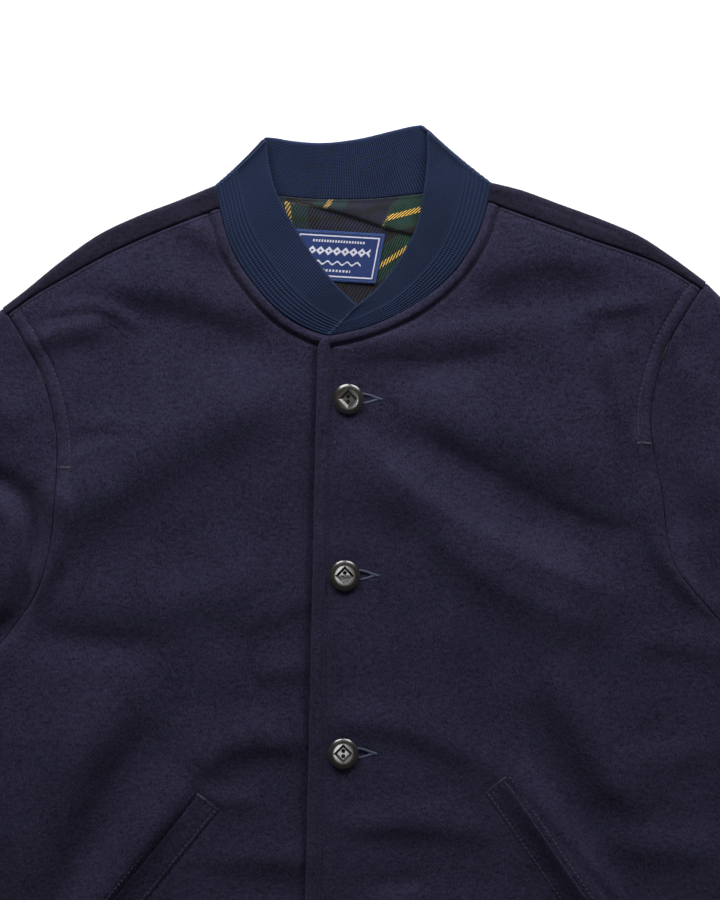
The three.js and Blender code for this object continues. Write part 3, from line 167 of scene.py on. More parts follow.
# Folds as the cloth lies: a bend from left to right through three places, its rise (a hollow
# below 0), and how far it reaches on its upper and its lower side
# x0, y0, x1, y1, x2, y2, rise, reach above, reach below
FOLDS = (
    # Wearer's right chest
    (-176, 206, -110, 203, -44, 182, 3.2, 20, 11), (-156, 186, -104, 178, -46, 158, -2, 9, 20),
    (-196, 186, -160, 191, -128, 174, 1.5, 5, 4), (-212, 165, -182, 175, -152, 181, 2.4, 6, 9),
    (-114, 248, -94, 240, -74, 222, 1.6, 7, 7), (-188, 48, -120, 97, -18, 144, 5.6, 27, 22),
    (-180, 111, -156, 115, -132, 113, 1, 7, 7), (-186, 91, -164, 97, -142, 103, 0.7, 5, 5),
    (-186, 80, -184, 40, -216, -24, 3.8, 8, 10), (-204, -6, -118, -3, -20, 13, 2.2, 20, 18),
    (-204, -26, -160, -28, -104, -34, -1.6, 10, 12), (-72, -20, -44, -9, -14, 5, 1.2, 9, 8),
    (-60, -48, -44, -46, -22, -44, 1.4, 9, 8),
    # Wearer's right, round the pocket
    (-104, -120, -72, -93, -14, -93, 3, 17, 10), (-194, -244, -140, -172, -94, -110, 5.4, 20, 7),
    (-194, -224, -162, -146, -120, -76, -4, 13, 13), (-218, -230, -190, -134, -134, -40, 6.4, 34, 21),
    (-98, -124, -76, -130, -52, -131, 1, 6, 6), (-96, -171, -56, -168, -10, -172, 2, 13, 9),
    (-104, -205, -60, -208, -10, -204, 1.8, 12, 9), (-150, -284, -110, -240, -40, -240, 2.2, 14, 10),
    (-238, -285, -226, -240, -204, -204, 1.8, 14, 14), (-226, -170, -222, -110, -232, -60, 1.8, 12, 14),
    # Wearer's left chest
    (80, 210, 126, 223, 184, 218, 3.8, 24, 12), (78, 190, 130, 194, 176, 194, -1.4, 9, 10),
    (-14, 162, 48, 171, 122, 179, 2.2, 8, 13), (2, 145, 60, 151, 116, 162, -2, 8, 12),
    (32, 131, 100, 108, 190, 74, 3.5, 26, 22), (34, 114, 104, 70, 190, 22, -3, 12, 10),
    (-6, 113, 76, 46, 194, -8, 6.2, 12, 28), (18, 62, 66, 24, 122, -40, -1.5, 14, 24),
    (150, 188, 178, 190, 204, 194, 1.4, 6, 4), (162, 182, 161, 150, 170, 124, -2, 6, 6),
    (172, 176, 175, 144, 184, 108, 2.2, 6, 6), (187, 164, 190, 134, 192, 106, -1.6, 5, 5),
    (198, 84, 205, 32, 244, -12, 3, 7, 7), (126, 60, 160, 48, 196, 44, -1.4, 6, 8),
    # Wearer's left, round the pocket
    (-16, -79, 40, -83, 108, -114, 2.3, 14, 10), (100, -106, 140, -166, 194, -242, 4.8, 18, 7),
    (116, -64, 140, -118, 180, -184, -3, 12, 12), (134, -34, 160, -96, 196, -146, 5, 18, 12),
    (-4, -147, 48, -145, 102, -152, 2.2, 12, 9), (-6, -186, 30, -184, 52, -180, -1.6, 6, 7),
    (10, -196, 60, -197, 116, -200, 2, 12, 9), (160, -154, 204, -160, 252, -164, 2.4, 16, 12),
    (40, 50, 100, 6, 176, -26, 3.6, 14, 46), (190, -24, 220, -30, 250, -34, 1.6, 10, 9),
    (176, -100, 206, -102, 240, -98, 1.6, 12, 12), (80, -215, 130, -245, 150, -285, 2.2, 16, 16),
    (196, -210, 218, -245, 226, -286, 1.8, 14, 14),
    # Sleeve heads
    (-262, 92, -207, 66, -203, 10, -5.5, 5, 7), (-203, 22, -211, -10, -244, -38, -5.5, 6, 8),
    (-262, 106, -196, 76, -190, 10, 1.2, 14, 7),
    (-266, 80, -214, 48, -228, -24, 5.5, 7, 26), (-250, 152, -226, 128, -206, 112, 2, 12, 10),
    (208, 170, 211, 100, 220, 34, -5, 8, 6), (262, 118, 252, 60, 262, 10, 2.2, 14, 14),
    (226, 166, 234, 110, 238, 52, 4, 9, 12),
    # Sleeves towards the cuffs
    (-352, 18, -330, -40, -330, -110, 3.4, 15, 15), (-318, 20, -300, -22, -298, -66, -2, 12, 12),
    (-420, -100, -396, -120, -374, -168, 3.2, 14, 14), (-392, -70, -368, -96, -350, -140, -2, 12, 12),
    (-500, -228, -468, -226, -436, -252, 2.8, 12, 12), (-476, -196, -448, -200, -420, -222, -1.8, 11, 11),
    (362, 30, 340, -26, 342, -98, 3.4, 15, 15), (330, 34, 312, -10, 310, -58, -2, 12, 12),
    (434, -92, 406, -110, 388, -160, 3.2, 14, 14), (404, -58, 380, -86, 364, -130, -2, 12, 12),
    (512, -216, 480, -214, 448, -242, 2.8, 12, 12), (488, -184, 460, -190, 432, -212, -1.8, 11, 11),
)


def srgb(red: float, green: float, blue: float) -> tuple[float, float, float, float]:
    """Turns a colour as it looks, 0 to 255, into a shader's linear one.

    Args:
        red: Red as seen.
        green: Green as seen.
        blue: Blue as seen.

    Returns:
        The linear colour with full opacity.
    """
    linear = []
    for value in (red / 255, green / 255, blue / 255):
        linear.append(value / 12.92 if value <= 0.04045 else ((value + 0.055) / 1.055) ** 2.4)
    return (*linear, 1.0)


def smooth(low: float, high: float, value: Array | float) -> Array | float:
    """Goes smoothly from 0 at low to 1 at high."""
    t = np.clip((value - low) / (high - low), 0, 1)
    return t * t * (3 - 2 * t)


def lerp(start: Array | float, end: Array | float, share: Array | float) -> Array | float:
    """The value at a share of the way from start to end."""
    return start + (end - start) * share


def bell(distance: Array, reach: float) -> Array:
    """A soft bump: 1 at distance 0, near 0 at twice the reach."""
    return np.exp(-(distance / reach) ** 2)


def roll(distance: Array, radius: float) -> Array:
    """How far a rolled edge has sunk, as a share: 1 at the edge and 0 from the radius on."""
    inside = np.clip(1 - distance / radius, 0, 1)
    return 1 - np.sqrt(1 - inside ** 2)


class Spline:
    """A uniform Catmull-Rom curve through points."""

    def __init__(self, points: Array) -> None:
        """Keeps the points and measures the curve."""
        self.points = np.asarray(points, float)
        self.shares = np.linspace(0, 1, 1200)
        steps = np.linalg.norm(np.diff(self.at(self.shares), axis=0), axis=1)
        self.lengths = np.concatenate([[0], np.cumsum(steps)])

    def at(self, share: Array | float) -> Array:
        """The points at shares of the number of spans."""
        last = len(self.points) - 1
        place = np.clip(np.asarray(share, float), 0, 1) * last
        index = np.minimum(np.floor(place), last - 1).astype(int)
        t = (place - index)[..., None]
        before, start = self.points[np.maximum(index - 1, 0)], self.points[index]
        end, after = self.points[index + 1], self.points[np.minimum(index + 2, last)]
        leave, arrive = (end - before) / 2, (after - start) / 2
        cubic = (2 * start - 2 * end + leave + arrive) * t ** 3
        square = (3 * end - 3 * start - 2 * leave - arrive) * t ** 2
        return cubic + square + leave * t + start

    def along(self, share: Array | float) -> Array:
        """The points at shares of the curve's length."""
        length = np.clip(np.asarray(share, float), 0, 1) * self.lengths[-1]
        return self.at(np.interp(length, self.lengths, self.shares))


def nearest(path: Array, x: Array, y: Array) -> tuple[Array, Array, Array]:
    """Finds how near places are to a flat path.

    Args:
        path: The path's points.
        x: The places' x.
        y: The places' y.

    Returns:
        The distances, where on the path as a share of its spans, and whether it is on the left.
    """
    best = np.full(np.shape(x), 1e9)
    where = np.zeros(np.shape(x))
    left = np.zeros(np.shape(x), bool)
    spans = len(path) - 1
    for i in range(spans):
        (ax, ay), (bx, by) = path[i][:2], path[i + 1][:2]
        dx, dy = bx - ax, by - ay
        share = np.clip(((x - ax) * dx + (y - ay) * dy) / (dx * dx + dy * dy), 0, 1)
        distance = np.hypot(x - ax - dx * share, y - ay - dy * share)
        closer = distance < best
        best = np.where(closer, distance, best)
        where = np.where(closer, (i + share) / spans, where)
        left = np.where(closer, dx * (y - ay) - dy * (x - ax) > 0, left)
    return best, where, left


def offset(path: Array, distance: float, toward: tuple[float, float]) -> Array:
    """Moves a flat path sideways.

    Args:
        path: The path's points.
        distance: How far it moves.
        toward: A place on the side to which it moves.

    Returns:
        The moved points.
    """
    along = np.gradient(path, axis=0)
    along /= np.linalg.norm(along, axis=1)[:, None]
    side = np.stack([-along[:, 1], along[:, 0]], axis=1)
    middle = len(path) // 2
    sign = np.sign(np.dot(side[middle], np.asarray(toward) - path[middle]))
    return path + side * sign * distance


class Drape:
    """Height of the laid cloth: broad folds, with a little unevenness of its own."""

    FADE = 0.36
    DEPTH = 1.35
    WAVES = 16

    def __init__(self, seed: int = 7) -> None:
        """Works out the folds' lines and the small waves."""
        self.folds = []
        for x0, y0, x1, y1, x2, y2, rise, above, below in FOLDS:
            line = Spline([(x0, y0), (x1, y1), (x2, y2)]).at(np.linspace(0, 1, 9))
            self.folds.append((line, rise * self.DEPTH, above, below))
        draw = np.random.default_rng(seed)
        length = draw.uniform(26, 88, self.WAVES)
        turn = draw.uniform(0, math.pi, self.WAVES)
        self.wave_x = 2 * math.pi / length * np.cos(turn)
        self.wave_y = 2 * math.pi / length * np.sin(turn)
        self.wave_start = draw.uniform(0, 2 * math.pi, self.WAVES)
        self.wave_rise = 0.1 * length / 60

    def relief(self, x: Array, y: Array, deepest: float = 2.9) -> Array:
        """Height that the folds add at places, held clear of the cloth below.

        Args:
            x: The places' x.
            y: The places' y.
            deepest: How far the cloth can sink.

        Returns:
            The folds' height.
        """
        total = np.zeros(np.shape(x))
        for line, rise, above, below in self.folds:
            distance, where, over = nearest(line, x, y)
            fade = smooth(0, self.FADE, np.minimum(where, 1 - where) + 0.04)
            total += rise * fade * bell(distance, np.where(over, above, below))
        return np.where(total < 0, deepest * np.tanh(total / deepest), total)

    def ripple(self, x: Array, y: Array) -> Array:
        """Small unevenness of thick cloth at places."""
        total = np.zeros(np.shape(x))
        for i in range(self.WAVES):
            total += self.wave_rise[i] * np.sin(
                self.wave_x[i] * x + self.wave_y[i] * y + self.wave_start[i])
        return total

    def body(self, side: Side, x: Array, y: Array) -> Array:
        """Top of the body cloth on one front at places."""
        lap = lap_share(x, y)
        folds = self.relief(x, y) + self.ripple(x, y)
        folds = np.where(folds < 0, folds * (1 - 0.7 * lap), folds)
        return TOP + folds + (LAP_RISE if side is Side.LEFT else -LAP_DROP) * lap


def lap_edge(y: Array | float) -> Array | float:
    """Free edge of the front that lies on top, at a height on the body."""
    return LAP_EDGE_X + LAP_EDGE_SLANT * y


def lap_share(x: Array, y: Array) -> Array:
    """Share of the lap: 1 between both free edges, 0 well away from them."""
    edge = lap_edge(y)
    return smooth(edge - 48, edge - 3, x) * (1 - smooth(edge + LAP + 3, edge + LAP + 46, x))


def wall_normals(middle: Array, looped: bool, facing: Facing) -> tuple[Array, Array]:
    """Finds where a grid of cloth faces.

    Args:
        middle: Rows by columns of points.
        looped: Whether each row closes on itself.
        facing: Where the outer face looks.

    Returns:
        The grid's own normals, and the outer face's.
    """
    down = np.gradient(middle, axis=0)
    across = np.gradient(middle, axis=1)
    if looped:
        across = np.roll(middle, -1, 1) - np.roll(middle, 1, 1)
    front = np.cross(down, across)
    front /= np.maximum(np.linalg.norm(front, axis=2), 1e-9)[..., None]
    level = middle[..., 2] - middle[..., 2].mean()
    weight = level if facing is Facing.OUT else (1.0 if facing is Facing.UP else -1.0)
    return front, front * np.sign((front[..., 2] * weight).sum())


def cloth_mesh(name: str, points: Array, faces: Array, spots: Array) -> bpy.types.Mesh:
    """Makes a mesh with its faces out and its places on the flat cloth as a UV map.

    Args:
        name: The mesh's name.
        points: Its points, in millimetres.
        faces: Four points for each face.
        spots: Each face's four places on the flat cloth, in millimetres.

    Returns:
        The mesh, in metres.
    """
    corners = points[faces]
    volume = np.einsum("ij,ij->i", corners[:, 0], np.cross(corners[:, 1], corners[:, 2])).sum()
    volume += np.einsum("ij,ij->i", corners[:, 0], np.cross(corners[:, 2], corners[:, 3])).sum()
    if volume < 0:
        faces, spots = faces[:, ::-1], spots[:, ::-1]
    mesh = bpy.data.meshes.new(name)
    mesh.from_pydata((points * MM).tolist(), [], faces.tolist())
    layer = mesh.uv_layers.new(name="cloth")
    layer.data.foreach_set("uv", (spots * MM).astype(np.float32).ravel())
    mesh.shade_smooth()
    return mesh


def shell(name: str, middle: Array, wall: float, raised: Array | float = 0.0,
          lowered: Array | float = 0.0, bulge: Array | float = 0.35, looped: bool = False,
          facing: Facing = Facing.UP, uv: Array | None = None) -> bpy.types.Mesh:
    """Makes a closed thin wall about a grid of middle points, with rounded borders.

    Args:
        name: The mesh's name.
        middle: Rows by columns of points.
        wall: The wall's thickness.
        raised: How much further out the outer face lies, for each point.
        lowered: How much further in the inner face lies, for each point.
        bulge: Roundness of the border, from 0 for square to 1 for a half circle.
        looped: Whether each row closes on itself.
        facing: Where the outer face looks.
        uv: Places on the flat cloth, one column more than middle if it is looped.

    Returns:
        The mesh, in metres.
    """
    rows, columns = middle.shape[:2]
    front, normal = wall_normals(middle, looped, facing)
    whole = np.ones(middle.shape[:2])
    outer = middle + normal * (wall / 2 + np.asarray(raised) * whole)[..., None]
    inner = middle - normal * (wall / 2 + np.asarray(lowered) * whole)[..., None]
    count = rows * columns
    index = np.arange(count).reshape(rows, columns)
    if looped:
        loops = [index[0, ::-1], index[-1, :]]
        index = np.concatenate([index, index[:, :1]], axis=1)
    else:
        loops = [np.concatenate(
            [index[:-1, 0], index[-1, :-1], index[:0:-1, -1], index[0, :0:-1]])]
    if uv is None:
        uv = middle[..., :2] if not looped else np.concatenate([middle, middle[:, :1]], 1)[..., :2]
    quads = np.stack([index[:-1, :-1], index[1:, :-1], index[1:, 1:], index[:-1, 1:]], -1)
    places = np.stack([uv[:-1, :-1], uv[1:, :-1], uv[1:, 1:], uv[:-1, 1:]], -2)
    quads, places = quads.reshape(-1, 4), places.reshape(-1, 4, 2)
    points = [outer.reshape(-1, 3), inner.reshape(-1, 3)]
    faces = [quads, quads[:, ::-1] + count]
    spots = [places, places[:, ::-1]]
    strength = np.asarray(bulge) * whole
    flat_uv = uv[:, :columns].reshape(-1, 2)
    added = 2 * count
    for loop in loops:
        high, low = outer.reshape(-1, 3)[loop], inner.reshape(-1, 3)[loop]
        centre, half = (high + low) / 2, (high - low) / 2
        line = middle.reshape(-1, 3)[loop]
        out = np.cross(np.roll(line, -1, 0) - np.roll(line, 1, 0), front.reshape(-1, 3)[loop])
        out /= np.maximum(np.linalg.norm(out, axis=1), 1e-9)[:, None]
        push = np.linalg.norm(half, axis=1) * strength.reshape(-1)[loop]
        rings = [loop]
        for k in range(1, RIM_STEPS):
            angle = math.pi * k / RIM_STEPS
            points.append(centre + half * math.cos(angle) + out * (push * math.sin(angle))[:, None])
            rings.append(np.arange(added, added + len(loop)))
            added += len(loop)
        rings.append(loop + count)
        edge_uv = flat_uv[loop]
        after_uv = np.roll(edge_uv, -1, 0)
        for a, b in zip(rings, rings[1:]):
            faces.append(np.stack([np.roll(a, -1), a, b, np.roll(b, -1)], -1))
            spots.append(np.stack([after_uv, edge_uv, edge_uv, after_uv], 1))
    return cloth_mesh(name, *(np.concatenate(rows) for rows in (points, faces, spots)))


def placed(name: str, data: bpy.types.ID) -> bpy.types.Object:
    """Puts a mesh, light or camera into the scene as an object."""
    made = bpy.data.objects.new(name, data)
    bpy.context.scene.collection.objects.link(made)
    return made


def merged(name: str, meshes: list[bpy.types.Mesh]) -> bpy.types.Mesh:
    """Joins meshes into one.

    Args:
        name: The new mesh's name.
        meshes: The meshes, which are removed.

    Returns:
        The joined mesh.
    """
    parts = [placed(f"{name}_{i}", mesh) for i, mesh in enumerate(meshes)]
    with bpy.context.temp_override(active_object=parts[0], selected_editable_objects=parts):
        bpy.ops.object.join()
    mesh = parts[0].data
    bpy.data.objects.remove(parts[0])
    mesh.name = name
    return mesh


def add_piece(name: str, mesh: bpy.types.Mesh, finish: bpy.types.Material, slot: str,
              *nodes: str) -> bpy.types.Object:
    """Adds one finished piece of the jacket.

    Args:
        name: The piece's name.
        mesh: Its mesh, in place.
        finish: Its material.
        slot: The record's material slot; not used.
        *nodes: The solids for which it stands.

    Returns:
        The new object.
    """
    piece = placed(name, mesh)
    mesh.materials.clear()
    mesh.materials.append(finish)
    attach(piece, "root")
    if nodes:
        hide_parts(*nodes)
    LOG.info("%s: %d faces", name, len(mesh.polygons))
    return piece


class Shader:
    """A material whose nodes end in one Principled surface."""

    def __init__(self, name: str, **surface: object) -> None:
        """Makes the material and sets the surface's own sockets."""
        self.material = bpy.data.materials.new(name)
        self.material.use_nodes = True
        self.tree = self.material.node_tree
        self.surface = self.tree.nodes["Principled BSDF"]
        for key, value in surface.items():
            self.surface.inputs[key.replace("_", " ")].default_value = value
        self.object_place = self.node("ShaderNodeTexCoord").outputs["Object"]
        self.cloth_place = self.node("ShaderNodeUVMap", {"uv_map": "cloth"}).outputs["UV"]

    def node(self, kind: str, settings: dict | None = None, **inputs: object) -> bpy.types.Node:
        """Adds a node.

        Args:
            kind: The node's type.
            settings: Its properties.
            **inputs: Values or sockets for its inputs, by name.

        Returns:
            The node.
        """
        made = self.tree.nodes.new(kind)
        for key, value in (settings or {}).items():
            setattr(made, key, value)
        for key, value in inputs.items():
            self.feed(made.inputs[key.replace("_", " ")], value)
        return made

    def feed(self, socket: bpy.types.NodeSocket, value: object) -> None:
        """Links or sets an input."""
        if isinstance(value, bpy.types.NodeSocket):
            self.tree.links.new(value, socket)
        else:
            socket.default_value = value

    def math(self, operation: str, *values: object) -> bpy.types.NodeSocket:
        """A sum, product or other operation on numbers."""
        made = self.node("ShaderNodeMath", {"operation": operation})
        for socket, value in zip(made.inputs, values):
            self.feed(socket, value)
        return made.outputs[0]

    def mix(self, share: object, first: object, second: object) -> bpy.types.NodeSocket:
        """A colour between two others."""
        made = self.node("ShaderNodeMix", {"data_type": "RGBA"})
        for index, value in ((0, share), (6, first), (7, second)):
            self.feed(made.inputs[index], value)
        return made.outputs[2]

    def noise(self, place: object, scale: float, detail: float = 3.0,
              rough: float = 0.55) -> bpy.types.NodeSocket:
        """Cloudy noise, from 0 to 1."""
        made = self.node("ShaderNodeTexNoise", Vector=place, Scale=scale, Detail=detail,
                         Roughness=rough)
        return made.outputs["Fac"]

    def weighted(self, *terms: tuple[object, float]) -> bpy.types.NodeSocket:
        """Adds up values, each times its weight."""
        parts = [self.math("MULTIPLY", value, weight) for value, weight in terms]
        total = parts[0]
        for part in parts[1:]:
            total = self.math("ADD", total, part)
        return total

    def wave(self, shape: str, value: object, factor: float) -> bpy.types.NodeSocket:
        """The sine or cosine of a value times a factor."""
        return self.math(shape, self.math("MULTIPLY", value, factor))

    def ranged(self, value: object, low: float, high: float) -> bpy.types.NodeSocket:
        """Goes from 0 where a value is low to 1 where it is high."""
        made = self.node("ShaderNodeMapRange", Value=value, From_Min=low, From_Max=high)
        return made.outputs[0]

    def shaded(self, colour: object, shade: object) -> bpy.types.NodeSocket:
        """A colour made lighter or darker."""
        made = self.node("ShaderNodeVectorMath", {"operation": "SCALE"}, Scale=shade)
        self.feed(made.inputs[0], colour)
        return made.outputs[0]

    def cloth_axes(self) -> tuple[bpy.types.NodeSocket, bpy.types.NodeSocket]:
        """Places along and across the flat cloth, in metres."""
        parts = self.node("ShaderNodeSeparateXYZ", Vector=self.cloth_place)
        return parts.outputs["X"], parts.outputs["Y"]

    def bands(self, share: object, stops: list[tuple]) -> bpy.types.NodeSocket:
        """A colour for each value from 0 to 1.

        Args:
            share: The value.
            stops: Places from 0 to 1, with the colours that hold until the next.

        Returns:
            The colour.
        """
        made = self.node("ShaderNodeValToRGB", Fac=share)
        made.color_ramp.interpolation = "CONSTANT"
        for _ in stops[2:]:
            made.color_ramp.elements.new(0.5)
        for element, (place, colour) in zip(made.color_ramp.elements, stops):
            element.position = place
            element.color = colour
        return made.outputs["Color"]

    def turned(self, place: object, degrees: float, scale: tuple = (1, 1, 1)) -> object:
        """Places turned about Z and stretched."""
        return self.node("ShaderNodeMapping", Vector=place, Scale=scale,
                         Rotation=(0, 0, math.radians(degrees))).outputs["Vector"]

    def finish(self, colour: object, height: object = None, depth: float = 0.0002,
               strength: float = 1.0, roughness: object = None) -> bpy.types.Material:
        """Joins the colour, bump and roughness to the surface.

        Args:
            colour: The colour's socket.
            height: The bump's height from 0 to 1.
            depth: The bump's depth in metres.
            strength: The bump's strength.
            roughness: The roughness's socket or value.

        Returns:
            The material.
        """
        self.feed(self.surface.inputs["Base Color"], colour)
        if roughness is not None:
            self.feed(self.surface.inputs["Roughness"], roughness)
        if height is not None:
            bump = self.node("ShaderNodeBump", Height=height, Distance=depth, Strength=strength)
            self.tree.links.new(bump.outputs["Normal"], self.surface.inputs["Normal"])
        return self.material


@dataclass(frozen=True)
class WoolFinish:
    """Dark felted wool: a short brushed nap, finely mottled, with a soft sheen."""

    name: str = "felted_wool"
    dark: tuple = srgb(17, 15, 26)
    light: tuple = srgb(48, 46, 68)
    lint: tuple = srgb(130, 128, 150)

    def material(self) -> bpy.types.Material:
        """Builds the material."""
        shader = Shader(self.name, Sheen_Weight=0.12, Sheen_Roughness=0.4,
                        Sheen_Tint=srgb(170, 160, 205), Specular_IOR_Level=0.08, Roughness=0.95)
        brushed = shader.turned(shader.object_place, 14, (1, 0.45, 1))
        nap = shader.noise(brushed, 1150, 5, 0.75)
        tufts = shader.noise(shader.turned(shader.object_place, -32, (0.5, 1, 1)), 480, 4, 0.7)
        clouds = shader.noise(shader.object_place, 24, 3)
        mottle = shader.weighted((nap, 0.62), (tufts, 0.3), (clouds, 0.12))
        colour = shader.mix(shader.ranged(mottle, 0.4, 0.64), self.dark, self.light)
        lint = shader.ranged(shader.noise(shader.object_place, 900, 1), 0.79, 0.83)
        colour = shader.mix(shader.math("MULTIPLY", lint, 0.35), colour, self.lint)
        return shader.finish(colour, shader.weighted((nap, 0.75), (tufts, 0.35)), 0.0011, 1.0)


@dataclass(frozen=True)
class RibFinish:
    """Blue rib knit: fine loops along each rib, with painted shade: lighter on the crowns, darker in the
    grooves.
    """

    name: str = "rib_knit"
    lines: int = 0
    loop: float = 1.1
    dark: tuple = srgb(6, 13, 29)
    light: tuple = srgb(29, 41, 70)

    def dotted(self, shader: Shader, along: object, across: object,
               plain: object) -> bpy.types.NodeSocket:
        """Dotted lines that run beside the seam, and the plain knit elsewhere.

        Args:
            shader: The shader.
            along: Places along the knit, in metres.
            across: Places across the knit, in metres.
            plain: The plain knit's height.

        Returns:
            The knit's height.
        """
        place = shader.math("MULTIPLY", across, self.lines / (LINED_KNIT * MM))
        wave = shader.wave("SINE", place, math.pi)
        line = shader.math("MULTIPLY", wave, wave)
        turn = shader.weighted((along, 2 * math.pi / (RIB_PITCH * MM)),
                               (shader.math("FLOOR", place), math.pi))
        dots = shader.math("ADD", 0.55, shader.math("MULTIPLY", shader.math("COSINE", turn), 0.45))
        # Painted shade: these heights also darken the colour between the dotted lines and lighten it on
        # their dots.
        crowns = shader.math("SUBTRACT", shader.math("MULTIPLY", shader.math(
            "MULTIPLY", line, dots), 1.1), 0.22)
        inside = shader.math("LESS_THAN", across, LINED_KNIT * MM)
        return shader.weighted((crowns, inside), (plain, shader.math("SUBTRACT", 1.0, inside)))

    def material(self) -> bpy.types.Material:
        """Builds the material."""
        shader = Shader(self.name, Sheen_Weight=0.1, Sheen_Roughness=0.5,
                        Sheen_Tint=srgb(150, 170, 215), Specular_IOR_Level=0.15, Roughness=0.9)
        along, across = shader.cloth_axes()
        rib = shader.wave("SINE", along, 2 * math.pi / MM / RIB_PITCH)
        loop = shader.wave("SINE", across, 2 * math.pi / MM / self.loop)
        knit = shader.weighted((rib, 0.4), (loop, 0.28))
        if self.lines:
            knit = self.dotted(shader, along, across, knit)
        fuzz = shader.noise(shader.object_place, 1500, 3)
        clouds = shader.noise(shader.object_place, 45, 2)
        share = shader.math("ADD", knit, shader.weighted((fuzz, 0.5), (clouds, 0.5)))
        # Painted shade: the knit's heights darken the colour in the grooves between ribs and loops and
        # lighten it on their crowns.
        colour = shader.mix(shader.math("MULTIPLY", share, 0.9), self.dark, self.light)
        return shader.finish(colour, shader.math("ADD", knit, fuzz), 0.00025, 0.8)


@dataclass(frozen=True)
class TartanFinish:
    """Twill-woven tartan: a yellow line in each green band, between black and navy."""

    green: tuple = srgb(22, 56, 41)
    navy: tuple = srgb(24, 26, 44)
    black: tuple = srgb(22, 19, 22)
    yellow: tuple = srgb(198, 160, 72)
    repeat: float = 84.0
    twill: float = 2.3
    across_line: float = 216.0
    down_line: float = -36.4
    line_width: float = 3.8
    slant: float = 0.72

    def threads(self, shader: Shader, place: object, line: float) -> bpy.types.NodeSocket:
        """Colours of the threads that cross a line.

        Args:
            shader: The shader.
            place: The place along the line, in metres.
            line: Where the yellow line's middle is, in millimetres.

        Returns:
            The threads' colour.
        """
        start = line - self.line_width / 2
        share = shader.math("FRACT", shader.math("DIVIDE", shader.math(
            "SUBTRACT", place, start * MM), self.repeat * MM))
        stops = [
            (0.0, self.yellow), (0.04, self.green), (0.17, self.black), (0.25, self.navy),
            (0.38, self.black), (0.42, self.navy), (0.6, self.black), (0.64, self.navy),
            (0.76, self.black), (0.9, self.green),
        ]
        return shader.bands(share, stops)

    def material(self) -> bpy.types.Material:
        """Builds the material."""
        shader = Shader("tartan_lining", Sheen_Weight=0.1, Sheen_Roughness=0.5,
                        Specular_IOR_Level=0.2, Roughness=0.8)
        along, across = shader.cloth_axes()
        slant = shader.math("DIVIDE", shader.math("SUBTRACT", along, shader.math(
            "MULTIPLY", across, self.slant)), self.twill * MM)
        wave = shader.math("FRACT", slant)
        warp_on_top = shader.math("GREATER_THAN", wave, 0.5)
        colour = shader.mix(warp_on_top, self.threads(shader, across, self.across_line),
                            self.threads(shader, along, self.down_line))
        # Painted shade: the colour darkens in each twill groove and lightens on its rib, after the same
        # wave as the bump.
        ridge = shader.wave("COSINE", wave, 2 * math.pi)
        fuzz = shader.noise(shader.object_place, 1300, 3)
        shade = shader.math("ADD", 0.56, shader.weighted((ridge, -0.5), (fuzz, 0.55)))
        return shader.finish(shader.shaded(colour, shade), shader.math("SUBTRACT", fuzz, ridge),
                             0.0003, 0.7)


@dataclass(frozen=True)
class LabelFinish:
    """Woven satin label: blue ground, pale frame line, and a plain woven ornament."""

    ground: tuple = srgb(7, 37, 92)
    edge: tuple = srgb(23, 55, 112)
    pale: tuple = srgb(190, 190, 204)
    half_width: float = 28.75
    half_height: float = 16.0

    def material(self) -> bpy.types.Material:
        """Builds the material."""
        shader = Shader("woven_label", Sheen_Weight=0.04, Specular_IOR_Level=0.25, Roughness=0.6)
        across, up = (shader.math("DIVIDE", place, MM) for place in shader.cloth_axes())
        from_side = shader.math("SUBTRACT", self.half_width, shader.math("ABSOLUTE", across))
        from_top = shader.math("SUBTRACT", self.half_height, shader.math("ABSOLUTE", up))
        inset = shader.math("MINIMUM", from_side, from_top)

        def stripe(value: object, centre: float, half: float) -> bpy.types.NodeSocket:
            """1 where a value is within half of a centre."""
            return shader.math("COMPARE", value, centre, half)

        def row(height: float, half: float, reach: float, pitch: float) -> bpy.types.NodeSocket:
            """A row of short bars that run upright."""
            band = shader.math("MULTIPLY", stripe(up, height, half), stripe(across, 0.0, reach))
            bars = stripe(shader.math("PINGPONG", across, pitch), 0.0, pitch * 0.6)
            return shader.math("MULTIPLY", band, bars)

        diamond = shader.math("ADD", shader.math("PINGPONG", across, 2.7), shader.math(
            "ABSOLUTE", shader.math("SUBTRACT", up, 3.2)))
        diamonds = shader.math("MULTIPLY", stripe(diamond, 1.9, 0.95), stripe(across, 0.0, 21.6))
        swing = shader.wave("SINE", across, 2 * math.pi / 6.4)
        wave = stripe(shader.math("SUBTRACT", up, swing), -4.4, 0.55)
        wave = shader.math("MULTIPLY", wave, stripe(across, 0.0, 17.0))
        pattern = stripe(inset, 3.0, 0.42)
        for part in (diamonds, wave, row(9.6, 0.75, 17.0, 0.9), row(-9.4, 0.75, 11.0, 1.1)):
            pattern = shader.math("MAXIMUM", pattern, part)
        weave = shader.wave("SINE", up, 2 * math.pi / 0.42)
        cross = shader.wave("SINE", across, 2 * math.pi / 0.3)
        ground = shader.mix(shader.math("LESS_THAN", inset, 1.3), self.ground, self.edge)
        colour = shader.mix(pattern, ground, self.pale)
        # Painted shade: the colour darkens in the weave's grooves and lightens on its crests.
        shade = shader.math("ADD", 0.92, shader.math("MULTIPLY", weave, 0.1))
        height = shader.weighted((weave, 0.4), (cross, 0.2), (pattern, 0.8))
        return shader.finish(shader.shaded(colour, shade), height, 0.00015, 0.6)


